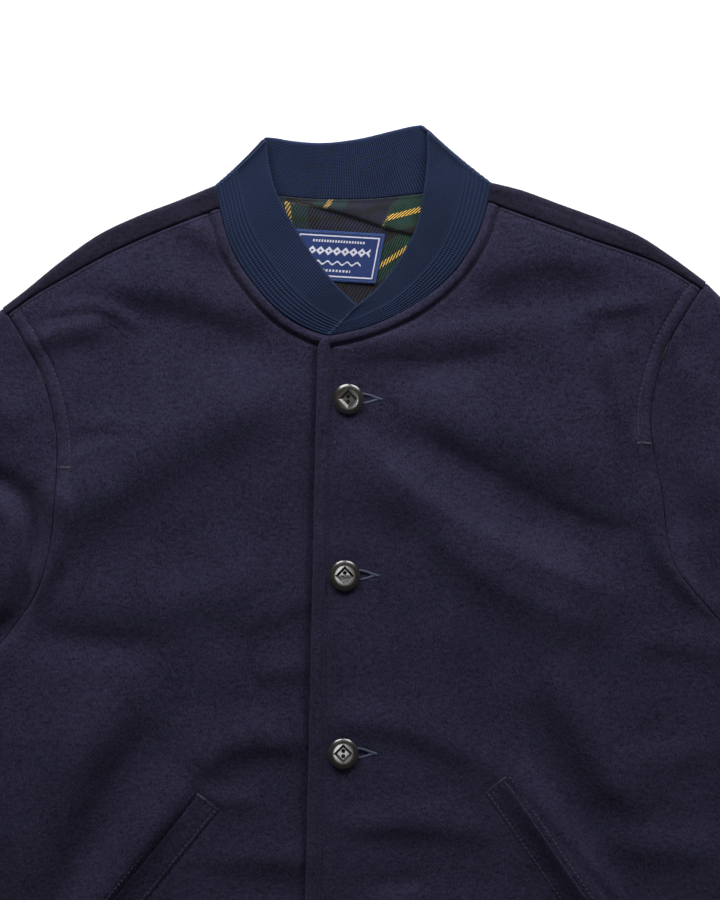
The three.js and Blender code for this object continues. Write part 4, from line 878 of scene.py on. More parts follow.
@dataclass(frozen=True)
class HornFinish:
    """Polished dark horn with brown streaks."""

    dark: tuple = srgb(24, 22, 21)
    brown: tuple = srgb(56, 44, 35)

    def material(self) -> bpy.types.Material:
        """Builds the material."""
        shader = Shader("dark_horn", IOR=1.56, Coat_Weight=0.5, Coat_Roughness=0.12)
        streaks = shader.noise(shader.turned(shader.object_place, 35, (1, 0.25, 1)), 420, 4)
        colour = shader.mix(shader.ranged(streaks, 0.52, 0.78), self.dark, self.brown)
        grain = shader.noise(shader.object_place, 2600, 2)
        rough = shader.math("ADD", 0.2, shader.math("MULTIPLY", grain, 0.16))
        return shader.finish(colour, grain, 0.00002, 0.4, rough)


@dataclass(frozen=True)
class ThreadFinish:
    """Twisted sewing thread."""

    name: str = "navy_thread"
    colour: tuple = srgb(33, 33, 50)

    def material(self) -> bpy.types.Material:
        """Builds the material."""
        shader = Shader(self.name, Sheen_Weight=0.2, Specular_IOR_Level=0.35, Roughness=0.6)
        twist = shader.noise(shader.object_place, 5200, 2)
        pale = tuple(min(1.0, value * 1.7) for value in self.colour[:3]) + (1.0,)
        return shader.finish(shader.mix(twist, self.colour, pale), twist, 0.00008, 0.6)


@dataclass(frozen=True)
class FloorFinish:
    """Plain pale floor."""

    pale: tuple = (0.9, 0.9, 0.9, 1.0)
    paler: tuple = (0.92, 0.92, 0.92, 1.0)

    def material(self) -> bpy.types.Material:
        """Builds the material."""
        shader = Shader("pale_floor", Roughness=0.9, Specular_IOR_Level=0.0)
        clouds = shader.noise(shader.object_place, 3, 2)
        return shader.finish(shader.mix(clouds, self.pale, self.paler))


class Finishes:
    """All materials of the jacket."""

    def __init__(self) -> None:
        """Builds each material once."""
        self.wool = WoolFinish().material()
        self.rib = RibFinish().material()
        self.lined_rib = RibFinish("lined_rib_knit", 7).material()
        # Painted shade: a darker copy of the felted wool, used for the back pieces.
        self.wool_back_painted_shade = WoolFinish("felted_wool_back_painted_shade", srgb(12, 11, 19),
                                    srgb(36, 34, 50)).material()
        self.tartan = TartanFinish().material()
        self.label = LabelFinish().material()
        self.horn = HornFinish().material()
        self.navy = ThreadFinish().material()
        self.blue = ThreadFinish("blue_thread", srgb(26, 34, 56)).material()
        self.slate = ThreadFinish("slate_thread", srgb(46, 53, 74)).material()
        self.brown = ThreadFinish("brown_thread", srgb(28, 14, 14)).material()


class StitchKind(Enum):
    """How a row of thread is sewn: pitch, length, radius, turn in degrees, unevenness."""

    TOPSTITCH = (3.2, 2.4, 0.34, 0.0, 0.05)
    TACK = (0.55, 2.2, 0.26, 90.0, 0.08)
    BUTTONHOLE = (0.5, 1.9, 0.32, 76.0, 0.14)
    LINKING = (1.5, 1.25, 0.26, 24.0, 0.1)


class Sewing:
    """Rows of stitches along paths, made by Geometry Nodes."""

    SIZES = ("Pitch", "Length", "Radius", "Turn", "Unevenness")

    # name, kind, and its settings where it has them
    NODES = (
        ("given", "NodeGroupInput"), ("curve", "GeometryNodeMeshToCurve"),
        ("steps", "GeometryNodeResampleCurve", {"mode": "LENGTH"}),
        ("tangent", "GeometryNodeInputTangent"),
        ("random", "FunctionNodeRandomValue", {"data_type": "FLOAT_VECTOR"}),
        ("uneven", "ShaderNodeVectorMath", {"operation": "SCALE"}),
        ("lean", "ShaderNodeVectorMath", {"operation": "ADD"}),
        ("turned", "ShaderNodeVectorRotate", {"rotation_type": "Z_AXIS"}),
        ("aim", "FunctionNodeAlignRotationToVector", {"axis": "X"}),
        ("upright", "FunctionNodeAlignRotationToVector", {"axis": "Z", "pivot_axis": "X"}),
        ("ball", "GeometryNodeMeshUVSphere"),
        ("half", "ShaderNodeMath", {"operation": "MULTIPLY"}),
        ("size", "ShaderNodeCombineXYZ"), ("place", "GeometryNodeInstanceOnPoints"),
        ("real", "GeometryNodeRealizeInstances"), ("soft", "GeometryNodeSetShadeSmooth"),
        ("dress", "GeometryNodeSetMaterial"), ("result", "NodeGroupOutput"),
    )

    # node, its input, value
    FIXED = (
        ("random", "Min", (-1, -1, -0.4)), ("random", "Max", (1, 1, 0.4)),
        ("upright", "Vector", (0, 0, 1)), ("ball", "Segments", 6), ("ball", "Rings", 4),
        ("half", 1, 0.5),
    )

    # from node, its output, to node, its input
    LINKS = (
        ("given", "Path", "curve", "Mesh"), ("curve", "Curve", "steps", "Curve"),
        ("given", "Pitch", "steps", "Length"), ("given", "Seed", "random", "Seed"),
        ("random", "Value", "uneven", 0), ("given", "Unevenness", "uneven", "Scale"),
        ("tangent", "Tangent", "lean", 0), ("uneven", "Vector", "lean", 1),
        ("lean", "Vector", "turned", "Vector"), ("given", "Turn", "turned", "Angle"),
        ("turned", "Vector", "aim", "Vector"), ("aim", "Rotation", "upright", "Rotation"),
        ("given", "Length", "half", 0), ("half", 0, "size", "X"),
        ("given", "Radius", "size", "Y"), ("given", "Radius", "size", "Z"),
        ("steps", "Curve", "place", "Points"), ("ball", "Mesh", "place", "Instance"),
        ("upright", "Rotation", "place", "Rotation"), ("size", "Vector", "place", "Scale"),
        ("place", "Instances", "real", "Geometry"), ("real", "Geometry", "soft", "Geometry"),
        ("soft", "Geometry", "dress", "Geometry"), ("given", "Thread", "dress", "Material"),
        ("dress", "Geometry", "result", "Stitches"),
    )

    def __init__(self) -> None:
        """Builds the node tree once."""
        self.tree = bpy.data.node_groups.new("stitch_row", "GeometryNodeTree")
        self.sockets = {}
        self.add_socket("Path", "NodeSocketGeometry")
        for name in self.SIZES:
            self.add_socket(name, "NodeSocketFloat")
        self.add_socket("Seed", "NodeSocketInt")
        self.add_socket("Thread", "NodeSocketMaterial")
        self.tree.interface.new_socket("Stitches", in_out="OUTPUT", socket_type="NodeSocketGeometry")
        self.connect()

    def add_socket(self, name: str, kind: str) -> None:
        """Adds a named input and keeps its identifier."""
        made = self.tree.interface.new_socket(name, in_out="INPUT", socket_type=kind)
        self.sockets[name] = made.identifier

    def connect(self) -> None:
        """Adds the nodes: a stitch on each even step of the path, then real mesh."""
        nodes = {}
        for name, kind, *settings in self.NODES:
            nodes[name] = self.tree.nodes.new(kind)
            for key, value in dict(*settings).items():
                setattr(nodes[name], key, value)
        for name, given, value in self.FIXED:
            nodes[name].inputs[given].default_value = value
        for start, output, end, given in self.LINKS:
            self.tree.links.new(nodes[start].outputs[output], nodes[end].inputs[given])

    def sew(self, name: str, paths: list[Array], kind: StitchKind, thread: bpy.types.Material,
            slot: str, seed: int = 1) -> bpy.types.Object:
        """Sews one piece of stitching along paths.

        Args:
            name: The piece's name.
            paths: Rows of points, in millimetres.
            kind: How it is sewn.
            thread: The thread's material.
            slot: The record's material slot.
            seed: Seed of the unevenness.

        Returns:
            The new piece.
        """
        points, edges = [], []
        for path in paths:
            start = len(points)
            points += (np.asarray(path) * MM).tolist()
            edges += [(i, i + 1) for i in range(start, len(points) - 1)]
        line = bpy.data.meshes.new(f"{name}_path")
        line.from_pydata(points, edges, [])
        guide = placed(f"{name}_path", line)
        rows = guide.modifiers.new("stitches", "NODES")
        rows.node_group = self.tree
        pitch, length, radius, turn, uneven = kind.value
        sizes = (pitch * MM, length * MM, radius * MM, math.radians(turn), uneven)
        for key, value in zip(self.SIZES, sizes):
            rows[self.sockets[key]] = value
        rows[self.sockets["Seed"]] = seed
        rows[self.sockets["Thread"]] = thread
        seen = guide.evaluated_get(bpy.context.evaluated_depsgraph_get())
        mesh = bpy.data.meshes.new_from_object(seen)
        bpy.data.objects.remove(guide)
        mesh.name = name
        return add_piece(name, mesh, thread, slot)


@dataclass
class Front:
    """One front panel, from the shoulder seam to the hem band."""

    side: Side
    drape: Drape
    finishes: Finishes
    sewing: Sewing
    neck_stitch: float = 7.5
    edge_stitch: float = 8.7
    armhole_stitch: float = 8.0
    shoulder_stitch: float = 3.0
    hem_gap: float = 0.5
    thinnest: float = 0.4
    neck: Spline = field(init=False)
    armhole: Spline = field(init=False)
    seams: dict = field(init=False)

    CUT = (285.0, 560.0)
    TACK_Y = {Side.RIGHT: 87.0, Side.LEFT: 103.0}
    # Rows are counted along both borders: where the neckline, the armhole and the hem end
    NECK_END, ARMHOLE_END, HEM_END = 7, 14, 27
    # Distances of the first columns from each border, close together at its seam and stitches
    NEAR_NECK = (0.55, 1.1, 1.8, 2.6, 3.6, 4.6, 5.5, 6.2, 6.8, 7.4, 8.0, 8.6, 9.3, 10.2, 11.4, 13)
    NEAR_EDGE = (1.5, 1.9, 2.5, 3.2, 4.1, 5.2, 6.2, 7.0, 7.6, 8.2, 8.7, 9.2, 9.8, 10.6, 11.6, 13)
    NEAR_SLEEVE = (0.55, 1.0, 1.6, 2.4, 3.4, 4.6, 5.6, 6.5, 7.1, 7.7, 8.3, 8.9, 9.7, 11, 13)
    NEAR_SIDE = (1.5, 1.6, 1.9, 2.3, 2.8, 3.4, 4.0, 4.7, 5.5, 6.5, 7.5, 8.6, 9.8, 11.2, 13)
    MIDDLE_COLUMNS = 84

    def __post_init__(self) -> None:
        """Works out the seams that bound the panel."""
        rows = np.array(COLLAR_HALVES[self.side][1:])
        self.neck = Spline(rows[:, :2])
        self.armhole = Spline(ARMHOLES[self.side])
        shares = np.linspace(0, 1, 40)
        self.seams = {
            "neck": self.neck.along(shares),
            "armhole": self.armhole.along(shares),
            "shoulder": Spline(np.array(SHOULDERS[self.side])[:, 2:]).at(shares),
        }

    def inner_ends(self, r: Array) -> Array:
        """Where the rows start: on the neckline, then on the free edge."""
        neck = self.neck.along(r / self.NECK_END)
        top = self.neck.points[-1]
        under = self.armhole.points[-1][1]
        upper = lerp(top[1], under, (r - self.NECK_END) / (self.ARMHOLE_END - self.NECK_END))
        lower = lerp(under, HEM_SEAM_Y + self.hem_gap, self.below_arm(r))
        y = np.where(r < self.ARMHOLE_END, upper, lower)
        x = lap_edge(y) + (LAP if self.side is Side.RIGHT else 0)
        corner = (1 - np.clip((top[1] - y) / 8, 0, 1)) ** 1.7
        free = np.stack([x + (top[0] - x) * corner, y], axis=-1)
        return np.where((r <= self.NECK_END)[:, None], neck, free)

    def below_arm(self, r: Array) -> Array:
        """Share of the way from the underarm to the hem."""
        return (r - self.ARMHOLE_END) / (self.HEM_END - self.ARMHOLE_END)

    def outer_ends(self, r: Array) -> tuple[Array, Array]:
        """Where the rows end, and how far they curl down to the side seam."""
        armhole = self.armhole.along(r / self.ARMHOLE_END)
        under = self.armhole.points[-1]
        hem = np.array(HEM_CORNERS[self.side]) + (0, self.hem_gap)
        side = lerp(under, hem, self.below_arm(r)[:, None])
        curl = smooth(self.ARMHOLE_END - 1, self.ARMHOLE_END + 1.2, r)
        return np.where((r <= self.ARMHOLE_END)[:, None], armhole, side), curl

    def detail(self, x: Array, y: Array) -> Array:
        """Fine relief of the outer face: seams that sink, stitched grooves, pocket and buttons.

        Args:
            x: The places' x.
            y: The places' y.

        Returns:
            How far the face is raised.
        """
        neck, armhole, shoulder = (nearest(self.seams[name], x, y)[0]
                                   for name in ("neck", "armhole", "shoulder"))
        from_hem = y - HEM_SEAM_Y
        total = -1.5 * roll(neck, 2.6) - 1.5 * roll(armhole, 2.8) - 1.3 * roll(shoulder, 2.4)
        total += -1.4 * roll(from_hem, 2.6)
        band = neck * self.edge_stitch / self.neck_stitch
        if self.side is Side.LEFT:
            edge = x - lap_edge(y)
            band = np.minimum(band, edge)
        total += self.quilted(band, self.edge_stitch, 1.9, 1.6)
        tack = self.TACK_Y[self.side]
        above = smooth(tack - 6, tack + 3, y)
        total += self.quilted(armhole, self.armhole_stitch, 0.9, 0.6) * above
        total += -0.8 * bell(shoulder - self.shoulder_stitch, 1.0)
        total += self.pocket(x, y)
        if self.side is Side.LEFT:
            return total + self.fastenings(x, y)
        crevice = 2.3 * bell(x - lap_edge(y) + 0.9, 3.8) * smooth(168, 160, y)
        return np.maximum(total - crevice, self.thinnest - WALL)

    @staticmethod
    def quilted(distance: Array, stitch: float, depth: float, puff: float) -> Array:
        """A stitched groove, with the cloth puffed up between it and the edge."""
        swell = np.sin(np.pi * np.clip(distance / stitch, 0, 1)) ** 0.8
        return puff * swell - depth * bell(distance - stitch, 1.4)

    def pocket(self, x: Array, y: Array) -> Array:
        """The bed of the welt, and the slack mouth of the pocket beside it."""
        top_x, top_y, end_x, end_y, wide_x, wide_y = WELTS[self.side]
        length = math.hypot(end_x - top_x, end_y - top_y)
        width = math.hypot(wide_x, wide_y)
        along = ((x - top_x) * (end_x - top_x) + (y - top_y) * (end_y - top_y)) / length
        across = ((x - top_x) * wide_x + (y - top_y) * wide_y) / width
        inside = smooth(-1.5, 1, along) * (1 - smooth(length - 1, length + 1.5, along))
        bed = smooth(-1.0, 0.8, across) * (1 - smooth(width - 0.6, width + 1.2, across))
        mouth = bell(across + 1.1, 1.7) * smooth(0, 12, along) * smooth(length, length - 12, along)
        ridge = bell(across + 5.2, 2.6) * smooth(2, 20, along) * smooth(length, length - 14, along)
        seam = bell(across - width - 0.9, 0.9)
        return inside * (-0.75 * bed - 2.1 * mouth - 0.6 * seam + 0.6 * ridge)

    @staticmethod
    def fastenings(x: Array, y: Array) -> Array:
        """Dimples under the buttons, and the slits of their buttonholes."""
        total = np.zeros(np.shape(x))
        for centre_x, centre_y, _, _ in BUTTONS:
            total -= 1.7 * bell(np.hypot(x - centre_x, y - centre_y), 12)
            spread = np.clip((centre_x + 20 - x) / 14, 0, 1) * 2.0 + 0.2
            slit = bell(y - centre_y, spread) * smooth(centre_x - 2, centre_x + 3, x)
            total -= 1.0 * slit * (1 - smooth(centre_x + 17, centre_x + 21, x))
        return total

    def grid(self) -> tuple[Array, Array, Array]:
        """Lays out the panel.

        Returns:
            The middle points, how far the outer face is raised, and the roundness of the border.
        """
        r = np.concatenate([
            [0, 0.035, 0.08, 0.14, 0.21], np.arange(0.3, 7, 0.13), 7 + np.arange(0, 0.2, 0.03),
            np.arange(7.2, 14, 0.078), np.arange(14, 26.75, 0.142),
            [26.8, 26.87, 26.92, 26.96, 27],
        ])
        start = self.inner_ends(r)
        end, curl = self.outer_ends(r)
        width = np.linalg.norm(end - start, axis=1)
        along = (end - start) / width[:, None]
        free = smooth(7.0, 7.12, r)[:, None]
        near = lerp(np.array(self.NEAR_NECK), np.array(self.NEAR_EDGE), free)
        far = lerp(np.array(self.NEAR_SLEEVE), np.array(self.NEAR_SIDE), curl[:, None])
        shares = np.linspace(0, 1, self.MIDDLE_COLUMNS + 2)[1:-1]
        between = lerp(near[:, -1:], width[:, None] - far[:, -1:], shares)
        distance = np.concatenate([near, between, width[:, None] - far[:, ::-1]], axis=1)
        spot = start[:, None] + along[:, None] * distance[..., None]
        share = distance[0] / width[0]
        seam = Spline(np.array(SHOULDERS[self.side])[:, 2:]).at(share) - (0, 0.55)
        bend = (1 - np.clip(r / 2.5, 0, 1))[:, None, None] ** 2
        spot = spot + (seam - spot[0]) * bend
        x, y = spot[..., 0], spot[..., 1]
        height = self.drape.body(self.side, x, y) - WALL / 2
        rolled = np.clip((SIDE_RADIUS + WALL / 2 - (width[:, None] - distance)) / SIDE_RADIUS, 0, 1)
        drop = (height - SEAM_Z - 0.1) * (1 - np.sqrt(1 - rolled ** 2)) * curl[:, None]
        middle = np.dstack([x, y, height - drop])
        raised = self.detail(x, y) * (1 - curl[:, None] * smooth(4, 0, width[:, None] - distance))
        bulge = np.full(x.shape, 0.35)
        bulge[:, 0] = lerp(0.35, 1.0, free[:, 0])
        bulge[:, -1] = lerp(0.35, 0.08, curl)
        return middle, raised, bulge

    def surface(self, path: Array, lift: float = 0.0) -> Array:
        """Lays a flat path on the panel's outer face."""
        x, y = path[:, 0], path[:, 1]
        height = self.drape.body(self.side, x, y) + self.detail(x, y)
        return np.stack([x, y, height + lift], axis=1)

    def build(self) -> None:
        """Builds the panel and its stitching."""
        middle, raised, bulge = self.grid()
        name = f"front_{self.side.value}"
        mesh = shell(f"{name}_cloth", middle, WALL, raised=raised, bulge=bulge)
        piece = add_piece(f"{name}_cloth", mesh, self.finishes.wool, "wool", name)
        self.stitch()

    def stitch(self) -> None:
        """Sews the visible rows of topstitching, and the bar tack at the armhole."""
        middle = (60.0 if self.side is Side.LEFT else -60.0, 60.0)
        neck = offset(self.seams["neck"], self.neck_stitch, middle)
        rows = []
        if self.side is Side.LEFT:
            neck = neck[neck[:, 0] > lap_edge(neck[:, 1]) + self.edge_stitch + 0.6]
            y = np.linspace(neck[-1][1] - 1.5, HEM_SEAM_Y + 2, 120)
            edge = np.stack([lap_edge(y) + self.edge_stitch, y], axis=1)
            rows.append(np.concatenate([neck, edge]))
        else:
            rows.append(neck[neck[:, 0] < lap_edge(neck[:, 1]) - 1])
        shares = np.linspace(0, 1, 60)
        armhole = offset(self.armhole.along(shares), self.armhole_stitch, middle)
        tack_y = self.TACK_Y[self.side]
        armhole = armhole[(armhole[:, 1] > tack_y)]
        rows.append(armhole[1:])
        rows.append(offset(self.seams["shoulder"], self.shoulder_stitch, middle)[1:-2])
        name = f"front_{self.side.value}"
        self.sewing.sew(f"{name}_topstitch", [self.surface(row, -0.02) for row in rows],
                        StitchKind.TOPSTITCH, self.finishes.navy, "wool", 3)
        end = armhole[-1]
        away = -1 if self.side is Side.RIGHT else 1
        bar = np.stack([np.linspace(end[0] + away * 7.5, end[0] - away * 1, 12),
                        np.full(12, tack_y - 1)], axis=1)
        self.sewing.sew(f"{name}_tack", [self.surface(bar, 0.1)], StitchKind.TACK,
                        self.finishes.navy, "wool", 4)


@dataclass
class Back:
    """The back panel: flat below, curled up to the side seams and folded over the shoulders."""

    drape: Drape
    finishes: Finishes
    columns: int = 60
    wrap_root: float = 14.0

    CUT = (570.0, 640.0)
    NEAR_SIDE = (1.5, 1.6, 1.9, 2.4, 3.1, 3.9, 4.7, 7.0)

    def outline(self, side: Side) -> tuple[Array, Array]:
        """Ends of the flat panel's rows on one side, and how far they curl up."""
        armhole = Spline(ARMHOLES[side])
        shares = np.linspace(0, 1, 46)
        side_seam = lerp(np.array(HEM_CORNERS[side]) + (0, 0.5), armhole.points[-1], shares[:, None])
        up = armhole.along(np.linspace(1, 0, 50))[1:]
        rows = np.array(SHOULDERS[side])
        inward = rows[:, 2:] - rows[:, :2]
        inward /= np.linalg.norm(inward, axis=1)[:, None]
        inset = rows[::-1, :2] + inward[::-1] * (SIDE_RADIUS + WALL / 2 + 0.5)
        shoulder = Spline(inset).along(np.linspace(0, 1, 34))[1:]
        ends = np.concatenate([side_seam, up, shoulder])
        curl = np.concatenate([1 - 0.6 * smooth(0.93, 1, shares), np.zeros(len(up) + len(shoulder))])
        return ends, curl

    def plate(self) -> bpy.types.Mesh:
        """The flat of the panel."""
        right, curl = self.outline(Side.RIGHT)
        left, _ = self.outline(Side.LEFT)
        width = np.linalg.norm(left - right, axis=1)
        near = np.array(self.NEAR_SIDE)
        shares = np.linspace(0, 1, self.columns)[1:-1]
        between = lerp(near[-1], width[:, None] - near[-1], shares)
        far = width[:, None] - near[::-1]
        distance = np.concatenate([np.tile(near, (len(width), 1)), between, far], axis=1)
        share = distance / width[:, None]
        spot = lerp(right[:, None], left[:, None], share[..., None])
        neck = Spline(np.array(COLLAR_BACK)[:, :2]).at(share[-1]) - (0, 0.6)
        last = np.arange(len(width)) - (len(width) - 34)
        bend = np.clip(last / 33, 0, 1)[:, None, None] ** 2
        spot = spot + (neck - spot[-1]) * bend
        edge = np.minimum(distance, width[:, None] - distance)
        rolled = np.clip((SIDE_RADIUS + WALL / 2 - edge) / SIDE_RADIUS, 0, 1)
        climb = (SEAM_Z - 0.1 - WALL / 2) * (1 - np.sqrt(1 - rolled ** 2)) * curl[:, None]
        middle = np.dstack([spot[..., 0], spot[..., 1], WALL / 2 + climb])
        return shell("back_plate", middle, WALL, facing=Facing.DOWN, bulge=0.1)

    def wrap(self, side: Side) -> bpy.types.Mesh:
        """The fold of the back over one shoulder, up to the shoulder seam."""
        rows = np.array(SHOULDERS[side])
        shares = np.linspace(0.003, 0.997, 120)
        fold, seam = Spline(rows[:, :2]).at(shares), Spline(rows[:, 2:]).at(shares)
        depth = np.linalg.norm(seam - fold, axis=1)
        inward = (seam - fold) / depth[:, None]
        radius = (TOP - WALL) / 2
        inset = radius + WALL / 2
        angle = np.radians(np.linspace(0, 180, 19))[1:]
        root = np.tile([self.wrap_root, 10.0, 7.0, inset], (len(shares), 1))
        turn = np.tile(inset - radius * np.sin(angle), (len(shares), 1))
        reach = np.maximum(depth - 0.5, inset + 0.6)
        top = lerp(inset, reach[:, None], np.linspace(0, 1, 15)[1:])
        distance = np.concatenate([root, turn, top], axis=1)
        sunk = 0.35 * smooth(inset, 7.0, root)
        low = np.concatenate([
            WALL / 2 + 0 * sunk, np.tile(WALL / 2 + radius * (1 - np.cos(angle)), (len(shares), 1)),
        ], axis=1)
        spot = fold[:, None] + inward[:, None] * distance[..., None]
        x, y = spot[..., 0], spot[..., 1]
        relief = self.drape.relief(x, y) + self.drape.ripple(x, y)
        high = TOP - WALL / 2 + relief[:, -14:] * smooth(inset - 1, inset + 4, top)
        middle = np.dstack([x, y, np.concatenate([low, high], axis=1)])
        from_seam = reach[:, None] - distance
        over = np.concatenate([np.zeros(low.shape), np.ones(high.shape)], axis=1)
        raised = -1.3 * roll(np.maximum(from_seam, 0), 2.2) * over
        raised[:, :3] = -0.4
        lowered = np.zeros(x.shape)
        lowered[:, :3] = -0.4
        return shell("shoulder_fold", middle, WALL, raised=raised, lowered=lowered,
                     facing=Facing.OUT, bulge=0.35)

    def build(self) -> None:
        """Builds the panel with both folded shoulders."""
        mesh = merged("back_cloth", [self.plate(), self.wrap(Side.RIGHT), self.wrap(Side.LEFT)])
        # The back is dressed in the darker copy of the wool, which is painted shade.
        piece = add_piece("back_cloth", mesh, self.finishes.wool_back_painted_shade, "wool", "back")


@dataclass
class Sleeve:
    """One set-in sleeve, a flattened tube from the armhole to the cuff."""

    side: Side
    drape: Drape
    finishes: Finishes
    top_columns: int = 76
    turn_steps: int = 9
    under_columns: int = 16
    head_length: float = 0.34
    deepest: float = 3.8
    length: float = 545.0

    CUT = (520.0, 570.0)

    def rings(self) -> tuple[Array, Array]:
        """Lays out the sleeve.

        Returns:
            The middle points as closed rings, and how far the outer face is raised.
        """
        table = np.array(SLEEVES[self.side], float)
        upper, lower = Spline(table[:, :2]), Spline(table[:, 2:])
        length = self.length
        near = np.array([0.55, 1.0, 1.6, 2.4, 3.4, 4.8, 6.6]) / length
        last = 1 - np.array([2.6, 1.6, 0.9, 0.4]) / length
        share = np.concatenate([near, np.arange(0.0165, 0.993, 0.0056), last])
        high, low = upper.along(share), lower.along(share)
        bend = np.clip(1 - share / self.head_length, 0, 1)[:, None, None] ** 2
        width = np.linalg.norm(high - low, axis=1)[:, None]
        half = SLEEVE_WALL / 2
        inset = (SIDE_RADIUS + half) / width
        push = SIDE_RADIUS / width
        angle = np.linspace(0, math.pi, self.turn_steps + 2)[None, 1:-1]
        flat = np.linspace(0, 1, self.top_columns)[None]
        under = np.linspace(1, 0, self.under_columns)[None]
        across = np.concatenate([
            lerp(inset, 1 - inset, flat), 1 - inset + push * np.sin(angle),
            lerp(inset, 1 - inset, under), inset - push * np.sin(angle),
        ], axis=1)
        seam = Spline(ARMHOLES[self.side])
        on_seam = seam.along(across) - lerp(seam.points[0], seam.points[-1], across[..., None])
        spot = lerp(high[:, None], low[:, None], across[..., None]) + on_seam * bend
        x, y = spot[..., 0], spot[..., 1]
        base = lerp(TOP, SLEEVE_TOP, smooth(0, 0.3, share))
        base = lerp(base, SLEEVE_END, smooth(0.85, 1, share))[:, None]
        folds = self.drape.relief(x, y, self.deepest) + self.drape.ripple(x, y)
        top = base + folds * (1 - smooth(0.94, 1, share))[:, None] - half
        count = self.top_columns
        steps = self.turn_steps
        height = np.full(x.shape, half)
        height[:, :count] = top[:, :count]
        turned = (1 + np.cos(angle)) / 2
        height[:, count:count + steps] = lerp(half, top[:, count - 1:count], turned)
        height[:, -steps:] = lerp(half, top[:, :1], 1 - turned)
        over = smooth(half, TOP * 0.7, height)
        distance = (share * length)[:, None]
        raised = -1.4 * roll(distance, 3.0) * over
        raised += -1.3 * roll((1 - share)[:, None] * length, 2.4)
        return np.dstack([x, y, height]), raised

    def build(self) -> None:
        """Builds the sleeve."""
        middle, raised = self.rings()
        name = f"sleeve_{self.side.value}"
        mesh = shell(f"{name}_cloth", middle, SLEEVE_WALL, raised=raised, looped=True,
                     facing=Facing.OUT, bulge=0.3)
        piece = add_piece(f"{name}_cloth", mesh, self.finishes.wool, "wool", name)


@dataclass
class Cuff:
    """One rib-knit cuff beyond the sleeve."""

    side: Side
    finishes: Finishes
    length: float = 64.0
    draw_in: float = 0.86
    radius: float = 2.2
    rib_rise: float = 0.42
    ribs: int = 78
    rows: int = 24

    CUT = (205.0, 64.0)

    def rings(self) -> tuple[Array, Array, Array]:
        """Lays out the cuff.

        Returns:
            The middle points as closed rings, the ribs' rise, and the places on the flat knit.
        """
        end = np.array(SLEEVES[self.side], float)[-1]
        high, low = end[:2], end[2:]
        middle = (high + low) / 2
        across = low - high
        width = np.linalg.norm(across)
        across = across / width
        onward = np.array([-abs(across[1]), -abs(across[0])])
        if self.side is Side.LEFT:
            onward[0] *= -1
        share = np.linspace(0, 1, self.rows)
        reach = lerp(0.97, self.draw_in, smooth(0, 0.5, share)) * width / 2
        half, radius = RIB_WALL / 2, self.radius
        tall = (RIB_TOP - RIB_WALL) / 2
        flat = reach - radius - half
        girth = 4 * flat + 2 * math.pi * tall
        turn = np.arange(self.ribs * 4) / (self.ribs * 4)
        s = turn[None] * girth[:, None]
        flat, edge = flat[:, None], math.pi * tall
        first, second, third = 2 * flat, 2 * flat + edge, 4 * flat + edge
        runs = [s < first, s < second, s < third]
        aside = np.select(runs, [s - flat, flat, flat - (s - second)], -flat)
        angle = np.select(runs, [0, (s - first) / edge * math.pi, math.pi],
                          math.pi * (1 + (s - third) / edge))
        aside = aside + radius * np.sin(angle)
        height = half + tall * (1 + np.cos(angle))
        centre = middle + onward * (0.5 + self.length * share)[:, None]
        spot = centre[:, None] + across * aside[..., None]
        grid = np.dstack([spot[..., 0], spot[..., 1], height])
        phase = np.cos(2 * math.pi * turn * self.ribs)[None]
        ends = smooth(0, 0.06, share) * (1 - smooth(0.9, 1, share))
        raised = self.rib_rise * (phase * 0.5) * (0.35 + 0.65 * ends[:, None])
        raised = raised - 1.2 * roll(share * self.length, 2.6)[:, None]
        along = np.linspace(0, 1, self.ribs * 4 + 1)[None] * self.ribs * RIB_PITCH
        down = (share * self.length)[:, None]
        uv = np.dstack([along * np.ones(down.shape), down * np.ones(along.shape)])
        return grid, raised, uv

    def build(self) -> None:
        """Builds the cuff."""
        middle, raised, uv = self.rings()
        name = f"cuff_{self.side.value}"
        mesh = shell(f"{name}_knit", middle, RIB_WALL, raised=raised, looped=True,
                     facing=Facing.OUT, uv=uv, bulge=np.linspace(0.3, 1, self.rows)[:, None])
        piece = add_piece(f"{name}_knit", mesh, self.finishes.rib, "rib", name)


